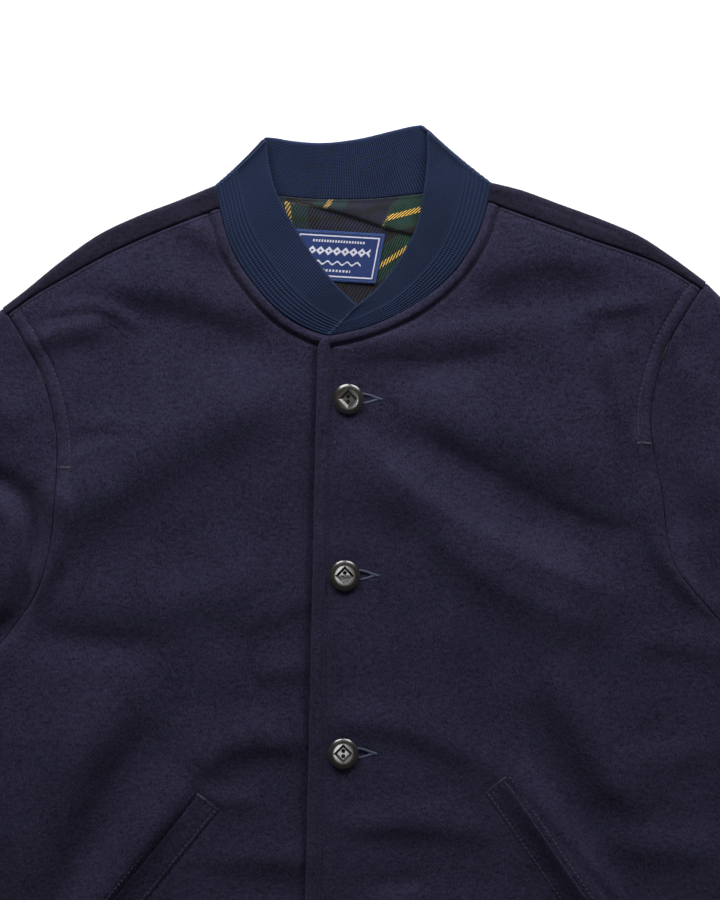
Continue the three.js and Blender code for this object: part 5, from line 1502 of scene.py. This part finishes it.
@dataclass
class HemBand:
    """The rib-knit waistband: one strip from free edge to free edge, round the back."""

    finishes: Finishes
    rib_rise: float = 0.42
    rows: int = 12

    CUT = (1070.0, 66.0)

    def build(self) -> None:
        """Builds the band."""
        half, radius = RIB_WALL / 2, (RIB_TOP - RIB_WALL) / 2
        top_y = HEM_SEAM_Y - 0.5
        right_end, left_end = lap_edge(top_y) + LAP - 1.2, lap_edge(top_y) + 1.2
        right = HEM_CORNERS[Side.RIGHT][0] + 4 + radius + half
        left = HEM_CORNERS[Side.LEFT][0] - 4 - radius - half
        turn = math.pi * radius
        runs = [right_end - right, turn, left - right, turn, left - left_end]
        marks = np.cumsum([0, *runs])
        ribs = round(marks[-1] / (2 * RIB_PITCH))
        s = np.linspace(0, marks[-1], ribs * 4 + 1)
        angle_right = np.clip((s - marks[1]) / turn, 0, 1) * math.pi
        angle_left = np.clip((s - marks[3]) / turn, 0, 1) * math.pi
        x = np.select(
            [s <= marks[1], s < marks[2], s <= marks[3], s < marks[4]],
            [right_end - s, right - radius * np.sin(angle_right), right + (s - marks[2]),
             left + radius * np.sin(angle_left)], left - (s - marks[4]))
        height = half + radius * (1 + np.cos(angle_right))
        height = np.where(s > marks[3], half + radius * (1 - np.cos(angle_left)), height)
        y = lerp(top_y - 0.4, HEM_END_Y + half * 0.9, np.linspace(0, 1, self.rows))
        lap = lap_share(x[:, None], y[None])
        over = (s > marks[4])[:, None]
        under = (s < marks[1])[:, None]
        level = height[:, None] + (LAP_RISE + 0.2) * lap * over + (0.2 - LAP_DROP) * lap * under
        middle = np.dstack([np.tile(x[:, None], (1, self.rows)), np.tile(y, (len(x), 1)), level])
        phase = np.cos(math.pi / 2 * np.arange(len(s)))[:, None]
        down = (top_y - y)[None]
        ends = smooth(0, 5, down) * (1 - smooth(58, 64, down))
        raised = self.rib_rise * 0.5 * phase * (0.3 + 0.7 * ends) - 1.2 * roll(down, 2.6)
        flat = np.arange(len(s)) / 4 * RIB_PITCH
        uv = np.dstack([flat[:, None] * np.ones(down.shape), down * np.ones((len(s), 1))])
        bulge = np.full(raised.shape, 0.9)
        bulge[:, 0] = 0.3
        mesh = shell("hem_band_knit", middle, RIB_WALL, raised=raised, facing=Facing.OUT,
                     uv=uv, bulge=bulge)
        piece = add_piece("hem_band_knit", mesh, self.finishes.rib, "rib", "hem_band")


@dataclass
class Collar:
    """The rib-knit stand collar: one strip folded at each side of the neck."""

    finishes: Finishes
    sewing: Sewing
    lines: int = 7
    line_share: float = 0.44
    line_rise: float = 0.6
    rib_rise: float = 0.17
    dome: float = 1.2
    edge_lift: float = 0.9
    lap_rise: float = 2.55
    lap_drop: float = 1.65
    wall: float = 2.4
    fold_height: float = 7.2
    fold_reach: float = 1.2
    bow: float = -0.9
    corner: float = 2.8
    width: float = 45.0
    inner_width: float = 38.0

    CUT = (470.0, 46.0)

    def shares(self) -> Array:
        """Places across the strip, close together over the knitted lines."""
        lines = np.linspace(0.015, self.line_share, self.lines * 4 + 1)
        return np.concatenate([lines, [0.5, 0.58, 0.67, 0.76, 0.84, 0.9, 0.94, 0.962]])

    def outward(self, side: Side) -> Array:
        """Direction across a side fold, away from the neck."""
        row = np.array(COLLAR_HALVES[side][0])
        along = (row[2:] - row[:2]) / np.linalg.norm(row[2:] - row[:2])
        inward = np.array([along[1], -along[0]])
        return inward if side is Side.LEFT else -inward

    def front(self, side: Side) -> tuple[Array, Array, Array, Array]:
        """One front half, from the fold to the end.

        Args:
            side: The wearer's side.

        Returns:
            Points on the seam and on the free edge, each row's heights, and its pull at the fold.
        """
        table = np.array(COLLAR_HALVES[side])
        seam, edge = Spline(table[:, :2]), Spline(table[:, 2:])
        mean = (seam.lengths[-1] + edge.lengths[-1]) / 2
        count = round(mean / RIB_PITCH) * 4
        along = np.linspace(0, 1, count + 1)
        w = self.shares()[None]
        lap = smooth(0.62, 0.86, along)[:, None]
        offset_z = (self.lap_rise if side is Side.LEFT else -self.lap_drop) * lap
        near_fold = (1 - smooth(0, 0.3, along))[:, None]
        swell = (self.dome * np.sin(math.pi * w) + self.edge_lift * w) * (1 - near_fold)
        sunk = (TOP - self.fold_height) * near_fold
        height = TOP - self.wall / 2 + offset_z + swell * (1 - 0.85 * lap) - sunk
        pull = self.outward(side) * (1 - smooth(0, 0.11, along))[:, None]
        return seam.at(along), edge.at(along), height, pull

    def turn(self, side: Side) -> tuple[Array, Array, Array, Array]:
        """Rows round one side fold, from the back layer up to the front layer."""
        front = np.array(COLLAR_HALVES[side][0])
        back = np.array(COLLAR_BACK[0 if side is Side.RIGHT else -1])
        radius = (self.fold_height - self.wall) / 2
        angle = np.linspace(0, math.pi, 17)[1:-1]
        rows = lerp(back, front, ((1 - np.cos(angle)) / 2)[:, None])
        rows += np.tile(self.outward(side), 2) * (self.fold_reach * np.sin(angle))[:, None]
        height = (self.fold_height / 2 - radius * np.cos(angle))[:, None]
        height = height * np.ones((1, len(self.shares())))
        pull = self.outward(side) * (1 + 1 - np.abs(np.cos(angle)))[:, None]
        return rows[:, :2], rows[:, 2:], height, pull

    def back(self) -> tuple[Array, Array, Array, Array]:
        """The back half, from the right fold to the left."""
        table = np.array(COLLAR_BACK)
        seam, edge = Spline(table[:, :2]), Spline(table[:, 2:])
        count = round((seam.lengths[-1] + edge.lengths[-1]) / 2 / RIB_PITCH) * 4
        along = np.linspace(0, 1, count + 1)
        height = np.full((len(along), len(self.shares())), self.wall / 2)
        pull = self.outward(Side.RIGHT) * (1 - smooth(0, 0.1, along))[:, None]
        pull = pull + self.outward(Side.LEFT) * smooth(0.9, 1, along)[:, None]
        return seam.at(along), edge.at(along), height, pull

    def build(self) -> None:
        """Builds the collar and the linking stitches at the back of the neck."""
        sections = []
        for part, backwards in ((self.front(Side.RIGHT), True), (self.turn(Side.RIGHT), True),
                                (self.back(), False), (self.turn(Side.LEFT), False),
                                (self.front(Side.LEFT), False)):
            sections.append([rows[::-1] if backwards else rows for rows in part])
        seam, edge, height, pull = (
            np.concatenate([part[i] for part in sections]) for i in range(4))
        w = self.shares()[None, :, None]
        spot = lerp(seam[:, None], edge[:, None], w)
        at_fold = np.linalg.norm(pull, axis=1)[:, None]
        rise = (edge - seam) / np.linalg.norm(edge - seam, axis=1)[:, None]
        spot = spot + (pull / np.maximum(at_fold, 1))[:, None] * (self.bow * np.sin(math.pi * w))
        sunk = np.maximum(at_fold - 1, 0)
        spot = spot - (rise * self.corner * sunk)[:, None] * smooth(0.75, 1, w)
        middle = np.dstack([spot[..., 0], spot[..., 1], height])
        w = self.shares()[None]
        step = np.arange(len(seam))[:, None]
        rib = np.cos(math.pi / 2 * step)
        inside = (w < self.line_share).astype(float)
        line = np.sin(math.pi * w / self.line_share * self.lines) ** 2
        number = np.floor(w / self.line_share * self.lines)
        dots = 0.68 + 0.32 * np.cos(math.pi / 2 * step + math.pi * (number % 2))
        outer = inside * line * dots * self.line_rise * (1 - 0.4 * np.minimum(at_fold, 1))
        outer = outer + (1 - inside) * rib * self.rib_rise
        outer = outer - 1.1 * roll(w * self.width, 2.4)
        inner = rib * self.rib_rise * (1 - smooth(0.9, 1, w)) - 0.3 * roll(w * self.inner_width, 2.4)
        behind = height[:, :1] < self.fold_height / 2
        inner = inner + (RIB_WALL - self.wall) * behind * (1 - np.minimum(at_fold, 1))
        length = step / 4 * RIB_PITCH
        uv = np.dstack([length * np.ones(w.shape), w * self.width + PLAIN_KNIT * behind])
        bulge = np.full(outer.shape, 1.0)
        bulge[:, 0] = 0.3
        mesh = shell("collar_knit", middle, self.wall, raised=outer, lowered=inner,
                     facing=Facing.OUT, uv=uv, bulge=bulge)
        piece = add_piece("collar_knit", mesh, self.finishes.lined_rib, "rib", "collar")
        back_seam = self.back()[0][20:-20]
        path = np.column_stack([back_seam - (0, 0.2), np.full(len(back_seam), 4.9)])
        self.sewing.sew("collar_linking", [path], StitchKind.LINKING, self.finishes.blue, "rib", 5)


@dataclass
class Welt:
    """One slanted pocket welt, stitched at both ends."""

    front: Front
    finishes: Finishes
    sewing: Sewing
    rise: float = 1.9
    wall: float = 2.0
    width: float = 16.7
    length: float = 165.0
    stitch: float = 14.3
    end_stitch: float = 3.4

    CUT = (17.0, 166.0)

    def place(self, along: Array, across: Array) -> Array:
        """Flat places at shares of the welt's length and width."""
        top_x, top_y, end_x, end_y, wide_x, wide_y = WELTS[self.front.side]
        x = lerp(top_x, end_x, along) + wide_x * across
        y = lerp(top_y, end_y, along) + wide_y * across
        return np.stack([x, y], axis=-1)

    def height(self, x: Array, y: Array, across: Array) -> Array:
        """Top of the welt over the smooth front, lower towards its stitched side."""
        return self.front.drape.body(self.front.side, x, y) + self.rise * (1 - 0.6 * across) - 0.4

    def build(self) -> None:
        """Builds the welt and its stitching."""
        along = np.linspace(0.005, 0.995, 110)
        across = np.array([0.06, 0.09, 0.13, 0.18, 0.24, 0.32, 0.42, 0.52, 0.62, 0.71, 0.78,
                           0.83, 0.87, 0.9, 0.925, 0.94])
        spot = self.place(*np.meshgrid(along, across, indexing="ij"))
        x, y = spot[..., 0], spot[..., 1]
        edge = np.minimum(across, 1 - across)[None] * self.width
        ends = np.minimum(along, 1 - along)[:, None] * self.length
        raised = -0.4 * roll(edge, 3.0) - 0.5 * roll(ends, 4.0)
        raised = raised - 0.45 * bell(self.width * across[None] - self.stitch, 0.8)
        raised = raised - 0.5 * bell(ends - self.end_stitch, 0.9)
        middle = np.dstack([x, y, self.height(x, y, across[None]) - self.wall / 2])
        side = self.front.side.value
        mesh = shell(f"pocket_welt_{side}_cloth", middle, self.wall, raised=raised, bulge=0.9)
        piece = add_piece(f"pocket_welt_{side}_cloth", mesh, self.finishes.wool, "wool",
                          f"pocket_welt_{side}")
        self.sew()

    def on_welt(self, along: Array, across: Array, lift: float) -> Array:
        """A path on the welt's top."""
        spot = self.place(along, across)
        return np.column_stack([spot, self.height(spot[:, 0], spot[:, 1], across) + lift])

    def sew(self) -> None:
        """Sews the row beside the opening, the inner row and both end rows."""
        line = np.linspace(0.02, 0.98, 60)
        wide = np.linspace(0.08, 0.92, 12)
        beside = self.front.surface(self.place(line, np.full(60, -0.2)), 0.02)
        rows = [beside, self.on_welt(line, np.full(60, 0.86), -0.42)]
        for end in (0.021, 0.979):
            rows.append(self.on_welt(np.full(12, end), wide, -0.42))
        side = self.front.side.value
        self.sewing.sew(f"pocket_{side}_topstitch", rows, StitchKind.TOPSTITCH,
                        self.finishes.navy, "wool", 6)
        tacks = [self.on_welt(np.full(6, end), np.linspace(-0.05, 0.3, 6), -0.1)
                 for end in (0.006, 0.994)]
        self.sewing.sew(f"pocket_{side}_tack", tacks, StitchKind.TACK, self.finishes.navy, "wool", 7)


@dataclass
class Lining:
    """The tartan lining where it shows inside the neck."""

    finishes: Finishes
    wall: float = 1.1
    base: float = 3.4
    crease: tuple = (-36.0, 259.5, 24.0, 243.0)

    CUT = (140.0, 82.0)

    # y, from x, to x
    ROWS = (
        (180, -8, 12), (188, -22, 28), (200, -38, 46), (214, -50, 62), (230, -61, 74),
        (244, -64, 76), (256, -62, 72), (259.8, -44, 52),
    )

    @staticmethod
    def neck_seam(x: Array) -> Array:
        """Where the seam at the back of the neck runs."""
        return 260.7 + 0.00135 * (x + 1) ** 2

    def side_of_crease(self, x: Array, y: Array) -> tuple[Array, Array]:
        """Distance above the crease's line, and how strong the crease is there."""
        x0, y0, x1, y1 = self.crease
        run = math.hypot(x1 - x0, y1 - y0)
        along = ((x - x0) * (x1 - x0) + (y - y0) * (y1 - y0)) / run ** 2
        sag = 1.6 * np.sin(math.pi * np.clip(along, 0, 1))
        above = ((x1 - x0) * (y - y0) - (y1 - y0) * (x - x0)) / run - sag
        strength = smooth(-0.12, 0.1, along) * (1 - smooth(1.5, 1.9, along))
        return above, strength

    def lift(self, x: Array, y: Array) -> Array:
        """Height of the lining over its lowest."""
        above, strength = self.side_of_crease(x, y)
        flap = smooth(-0.5, 0.9, above) * (1 - 0.75 * smooth(2, 12, above))
        swell = 0.5 * bell(above + 9, 6)
        soft = 0.3 * np.sin(x / 13 + y / 19) + 0.25 * np.sin(x / 21 - y / 9 + 1)
        calm = smooth(262, 254, y)
        beside = self.beside_pleat(x, y)
        pleat = 0.9 * smooth(-0.5, 0.5, beside) * (1 - smooth(1, 9, beside)) * smooth(236, 243, y)
        return (1.7 * flap * strength + swell * strength + 0.35 + 0.5 * soft + pleat) * calm

    @staticmethod
    def beside_pleat(x: Array, y: Array) -> Array:
        """How far places are to the left's side of the short pleat over the crease."""
        return x - 27.0 - 0.45 * (y - 248)

    def build(self) -> None:
        """Builds the lining."""
        rows = np.array(self.ROWS, float)
        y = np.linspace(rows[0, 0], rows[-1, 0], 108)
        start, end = np.interp(y, rows[:, 0], rows[:, 1]), np.interp(y, rows[:, 0], rows[:, 2])
        x = lerp(start[:, None], end[:, None], np.linspace(0, 1, 120)[None])
        y = y[:, None] * np.ones(x.shape)
        top = rows[-1, 0]
        y = y + smooth(232, top, y) * (self.neck_seam(x) - top)
        middle = np.dstack([x, y, self.base + self.wall / 2 + self.lift(x, y)])
        above, strength = self.side_of_crease(x, y)
        flap = (smooth(-0.4, 0.4, above) * strength)[..., None]
        bent = np.clip(x - 21, 0, None)
        lower = np.dstack([x + 0.1 * (y - 255), y - 0.66 * bent])
        pleat = smooth(-0.5, 0.5, self.beside_pleat(x, y))
        upper = np.dstack([x - 0.68 * (y - 257.4) - 26,
                           y - 0.27 * (x - 33.5) - 34 + 24 * (1 - pleat)])
        uv = lerp(lower, upper, flap)
        sunk = -0.8 * smooth(6, 0, self.neck_seam(x) - y)
        mesh = shell("lining_cloth", middle, self.wall, raised=sunk, uv=uv)
        piece = add_piece("lining_cloth", mesh, self.finishes.tartan, "tartan", "lining")


@dataclass
class NeckLabel:
    """The woven label sewn on the lining."""

    lining: Lining
    finishes: Finishes
    sewing: Sewing
    x: float = -5.2
    y: float = 223.6
    width: float = 57.5
    height: float = 32.0
    turn: float = -0.06
    lean: float = 0.13
    wall: float = 0.6
    lift: float = 0.8
    inset: float = 1.0

    def place(self, across: Array, up: Array) -> Array:
        """Points on the label's middle surface at distances from its centre."""
        x = self.x + across * math.cos(self.turn) + up * (self.lean - math.sin(self.turn))
        y = self.y + across * math.sin(self.turn) + up * math.cos(self.turn)
        calm = 0.7 * self.lining.lift(x, y) + 0.3 * self.lining.lift(x * 0 + self.x, y * 0 + self.y)
        wave = 0.22 * np.sin(across / 6.5 + 1) * np.sin(up / 9)
        z = self.lining.base + self.lining.wall + calm + self.lift + wave
        return np.stack([x, y, z], axis=-1)

    def build(self) -> None:
        """Builds the label and the stitches round it."""
        across = np.linspace(-self.width / 2, self.width / 2, 92)
        up = np.linspace(self.height / 2, -self.height / 2, 54)
        grid_up, grid_across = np.meshgrid(up, across, indexing="ij")
        middle = self.place(grid_across, grid_up)
        uv = np.dstack([grid_across, grid_up])
        mesh = shell("label_woven", middle, self.wall, uv=uv, bulge=0.8)
        piece = add_piece("label_woven", mesh, self.finishes.label, "woven_label", "label")
        half_width, half_height = self.width / 2 - self.inset, self.height / 2 - self.inset
        line = np.linspace(-half_width, half_width, 40)
        side = np.linspace(-half_height, half_height, 24)
        rows = []
        for end in (-1, 1):
            rows.append(self.place(line, np.full(40, end * half_height)))
            rows.append(self.place(np.full(24, end * half_width), side))
        for row in rows:
            row[:, 2] += self.wall / 2 + 0.02
        self.sewing.sew("label_stitches", rows, StitchKind.LINKING, self.finishes.slate,
                        "woven_label", 8)


@dataclass
class Button:
    """One horn button: a sloping rim, two stepped squares on their corners, two holes."""

    number: int
    x: float
    y: float
    tilt_x: float
    tilt_y: float
    front: Front
    finishes: Finishes
    sewing: Sewing
    outer_square: float = 9.0
    inner_square: float = 5.6
    hole: float = 1.35
    spacing: float = 3.4
    foot: float = 7.4

    SIDES = 80
    # radius, height
    PROFILE = (
        (7.2, 0), (8.6, 0.3), (9.4, 0.8), (9.8, 1.25), (9.94, 1.48), (9.98, 1.7), (9.94, 1.86),
        (9.76, 2.08), (9.4, 2.32), (8.8, 2.66), (8.1, 2.98), (7.5, 3.18), (7.0, 3.28),
        (6.3, 3.34), (3.0, 3.36),
    )

    @staticmethod
    def stacked(sides: int, rings: tuple, y: float = 0.0) -> bpy.types.Mesh:
        """Makes a closed solid from rings of corners, one over the other.

        Args:
            sides: Corners of each ring.
            rings: Each ring's radius and height, from the lowest up.
            y: Where the solid stands, off the button's middle.

        Returns:
            The mesh.
        """
        angle = np.arange(sides) / sides * 2 * math.pi
        points = np.concatenate([
            np.stack([r * np.cos(angle), y + r * np.sin(angle), np.full(sides, z)], 1)
            for r, z in rings])
        count = len(points)
        faces = [tuple(range(sides))[::-1], tuple(range(count - sides, count))]
        for low in range(0, count - sides, sides):
            for i in range(sides):
                j = (i + 1) % sides
                faces.append((low + i, low + j, low + sides + j, low + sides + i))
        mesh = bpy.data.meshes.new("button_form")
        mesh.from_pydata((points * MM).tolist(), [], faces)
        return mesh

    def carved(self) -> bpy.types.Mesh:
        """The body with its squares and holes cut in."""
        top = self.PROFILE[-1][1]
        outer, inner = self.outer_square / math.sqrt(2), self.inner_square / math.sqrt(2)
        cutters = [
            self.stacked(4, ((outer, top - 0.4), (outer + 0.1, top + 0.4))),
            self.stacked(4, ((inner, top - 1.7), (outer, top - 0.38))),
            self.stacked(4, ((inner - 0.1, top - 2.1), (inner + 0.15, top - 1.5))),
        ]
        for y in (-self.spacing / 2, self.spacing / 2):
            cutters.append(self.stacked(24, ((self.hole, -1), (self.hole, 5)), y))
        body = placed("button_body", self.stacked(self.SIDES, self.PROFILE))
        tools = []
        for cutter in cutters:
            tool = placed("button_cutter", cutter)
            cut = body.modifiers.new("cut", "BOOLEAN")
            cut.operation = "DIFFERENCE"
            cut.solver = "EXACT"
            cut.object = tool
            tools.append(tool)
        soften = body.modifiers.new("soften", "BEVEL")
        soften.width = 0.09 * MM
        soften.segments = 1
        soften.angle_limit = math.radians(50)
        bpy.context.view_layer.update()
        seen = body.evaluated_get(bpy.context.evaluated_depsgraph_get())
        mesh = bpy.data.meshes.new_from_object(seen)
        for item in (body, *tools):
            bpy.data.objects.remove(item)
        mesh.shade_smooth()
        mesh.set_sharp_from_angle(angle=math.radians(28))
        return mesh

    def turned(self, mesh: bpy.types.Mesh, base: float) -> bpy.types.Mesh:
        """Tilts a mesh as the button lies and puts it in its place."""
        a, b = math.radians(self.tilt_x), math.radians(self.tilt_y)
        about_x = np.array([
            [1, 0, 0], [0, math.cos(a), -math.sin(a)], [0, math.sin(a), math.cos(a)]])
        about_y = np.array([
            [math.cos(b), 0, math.sin(b)], [0, 1, 0], [-math.sin(b), 0, math.cos(b)]])
        points = np.empty(len(mesh.vertices) * 3, np.float32)
        mesh.vertices.foreach_get("co", points)
        points = points.reshape(-1, 3) @ (about_x @ about_y).T
        points += np.array([self.x * MM, self.y * MM, base])
        mesh.vertices.foreach_set("co", points.astype(np.float32).ravel())
        mesh.update()
        return mesh

    def build(self) -> None:
        """Builds the button, its thread and its buttonhole."""
        node = f"button_{self.number}"
        low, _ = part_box(node)
        tilt = math.hypot(math.radians(self.tilt_x), math.radians(self.tilt_y))
        base = low.z + self.foot * MM * math.sin(tilt)
        if self.y > HEM_SEAM_Y:
            spots = np.array([(self.x + dx, self.y + dy) for dx in (-6, 0, 6) for dy in (-6, 0, 6)])
            base = (self.front.surface(spots)[:, 2].max() + 0.5) * MM
            LOG.info("%s stands %.1f mm from its solid", node, (base - low.z) / MM)
        add_piece(f"{node}_horn", self.turned(self.carved(), base), self.finishes.horn, "horn", node)
        plugs = [self.stacked(12, ((1.2, 0.1), (1.0, 0.8)), y)
                 for y in (-self.spacing / 2, self.spacing / 2)]
        plugs.append(self.stacked(14, ((2.6, -0.9), (2.3, 0.1))))
        thread = self.turned(merged(f"{node}_thread", plugs), base)
        thread.shade_smooth()
        add_piece(f"{node}_thread", thread, self.finishes.brown, "wool")
        self.buttonhole()

    def buttonhole(self) -> None:
        """Sews the two lips of the buttonhole, which meet at its end."""
        upper = Spline([(1, 1.4), (6, 2.9), (10, 3.2), (14, 2.4), (18, 0.9), (21.6, -0.3)])
        lower = Spline([(1, -1.2), (6, -2.7), (10, -2.8), (14, -2.0), (17.5, -0.8), (20, 0)])
        rows = []
        for lip in (upper, lower):
            path = lip.along(np.linspace(0, 1, 26)) + (self.x, self.y)
            if self.y > HEM_SEAM_Y:
                rows.append(self.front.surface(path, 0.16))
            else:
                level = RIB_TOP + LAP_RISE + 0.35
                rows.append(np.column_stack([path, np.full(26, level)]))
        self.sewing.sew(f"buttonhole_{self.number}", rows, StitchKind.BUTTONHOLE,
                        self.finishes.slate, "wool", 10 + self.number)


@dataclass
class Studio:
    """Pale floor, soft lights and the camera straight above."""

    centre_x: float = 10.4
    centre_y: float = 97.5
    view_height: float = 585.0
    distance: float = 2400.0
    sensor: float = 36.0
    half_floor: float = 4.0
    floor_drop: float = 0.2
    glow: float = 0.12

    # name, place, aim and size in metres, power in watts
    LIGHTS = (
        ("upper_left_light", (-0.48, 1.2, 0.6), (0, 0.05, 0), (0.7, 0.6), 21.5),
        ("upper_right_light", (0.52, 1.2, 0.6), (0, 0.05, 0), (0.7, 0.6), 19),
        ("overhead_light", (-0.014, -0.22, 2.9), (0, -0.1, 0), (0.22, 0.4), 8),
    )

    def floor(self) -> None:
        """Lays the floor."""
        half = self.half_floor
        mesh = bpy.data.meshes.new("pale_floor_sheet")
        corners = [(-half, -half, 0), (half, -half, 0), (half, half, 0), (-half, half, 0)]
        mesh.from_pydata(corners, [], [(0, 1, 2, 3)])
        mesh.materials.append(FloorFinish().material())
        floor = placed("pale_floor_sheet", mesh)
        floor.location.z = -self.floor_drop * MM

    @staticmethod
    def light(name: str, place: tuple, aim: tuple, size: tuple, power: float) -> None:
        """Hangs one soft light.

        Args:
            name: The light's name.
            place: Where it hangs, in metres.
            aim: Where it points, in metres.
            size: Its width and height in metres.
            power: Its power in watts.
        """
        data = bpy.data.lights.new(name, "AREA")
        data.shape = "RECTANGLE"
        data.size, data.size_y = size
        data.energy = power
        light = placed(name, data)
        light.location = place
        direction = light.location.copy()
        direction.x, direction.y, direction.z = (aim[i] - place[i] for i in range(3))
        light.rotation_mode = "QUATERNION"
        light.rotation_quaternion = direction.to_track_quat("-Z", "Y")

    def build(self) -> None:
        """Builds the floor, the lights and the camera."""
        self.floor()
        bpy.context.scene.view_settings.view_transform = "Standard"
        world = bpy.data.worlds.new("studio")
        world.use_nodes = True
        sky = world.node_tree.nodes["Background"]
        sky.inputs["Color"].default_value = (1, 1, 1, 1)
        sky.inputs["Strength"].default_value = self.glow
        bpy.context.scene.world = world
        for name, place, aim, size, power in self.LIGHTS:
            self.light(name, place, aim, size, power)
        data = bpy.data.cameras.new("straight_down")
        data.sensor_width = self.sensor
        data.lens = self.sensor * self.distance / self.view_height
        camera = placed("straight_down", data)
        camera.location = (self.centre_x * MM, self.centre_y * MM, (self.distance + TOP) * MM)
        data.clip_end = 20
        bpy.context.scene.camera = camera


def main() -> None:
    """Builds the studio and each sub-assembly of the jacket."""
    logging.basicConfig(level=logging.INFO, format="%(name)s: %(message)s")
    Studio().build()
    finishes = Finishes()
    sewing = Sewing()
    drape = Drape()
    Back(drape, finishes).build()
    fronts = {}
    for side in Side:
        fronts[side] = Front(side, drape, finishes, sewing)
        fronts[side].build()
        Sleeve(side, drape, finishes).build()
        Cuff(side, finishes).build()
        Welt(fronts[side], finishes, sewing).build()
    HemBand(finishes).build()
    Collar(finishes, sewing).build()
    lining = Lining(finishes)
    lining.build()
    NeckLabel(lining, finishes, sewing).build()
    for number, (x, y, tilt_x, tilt_y) in enumerate(BUTTONS, start=1):
        Button(number, x, y, tilt_x, tilt_y, fronts[Side.LEFT], finishes, sewing).build()


if __name__ == "__main__":
    main()
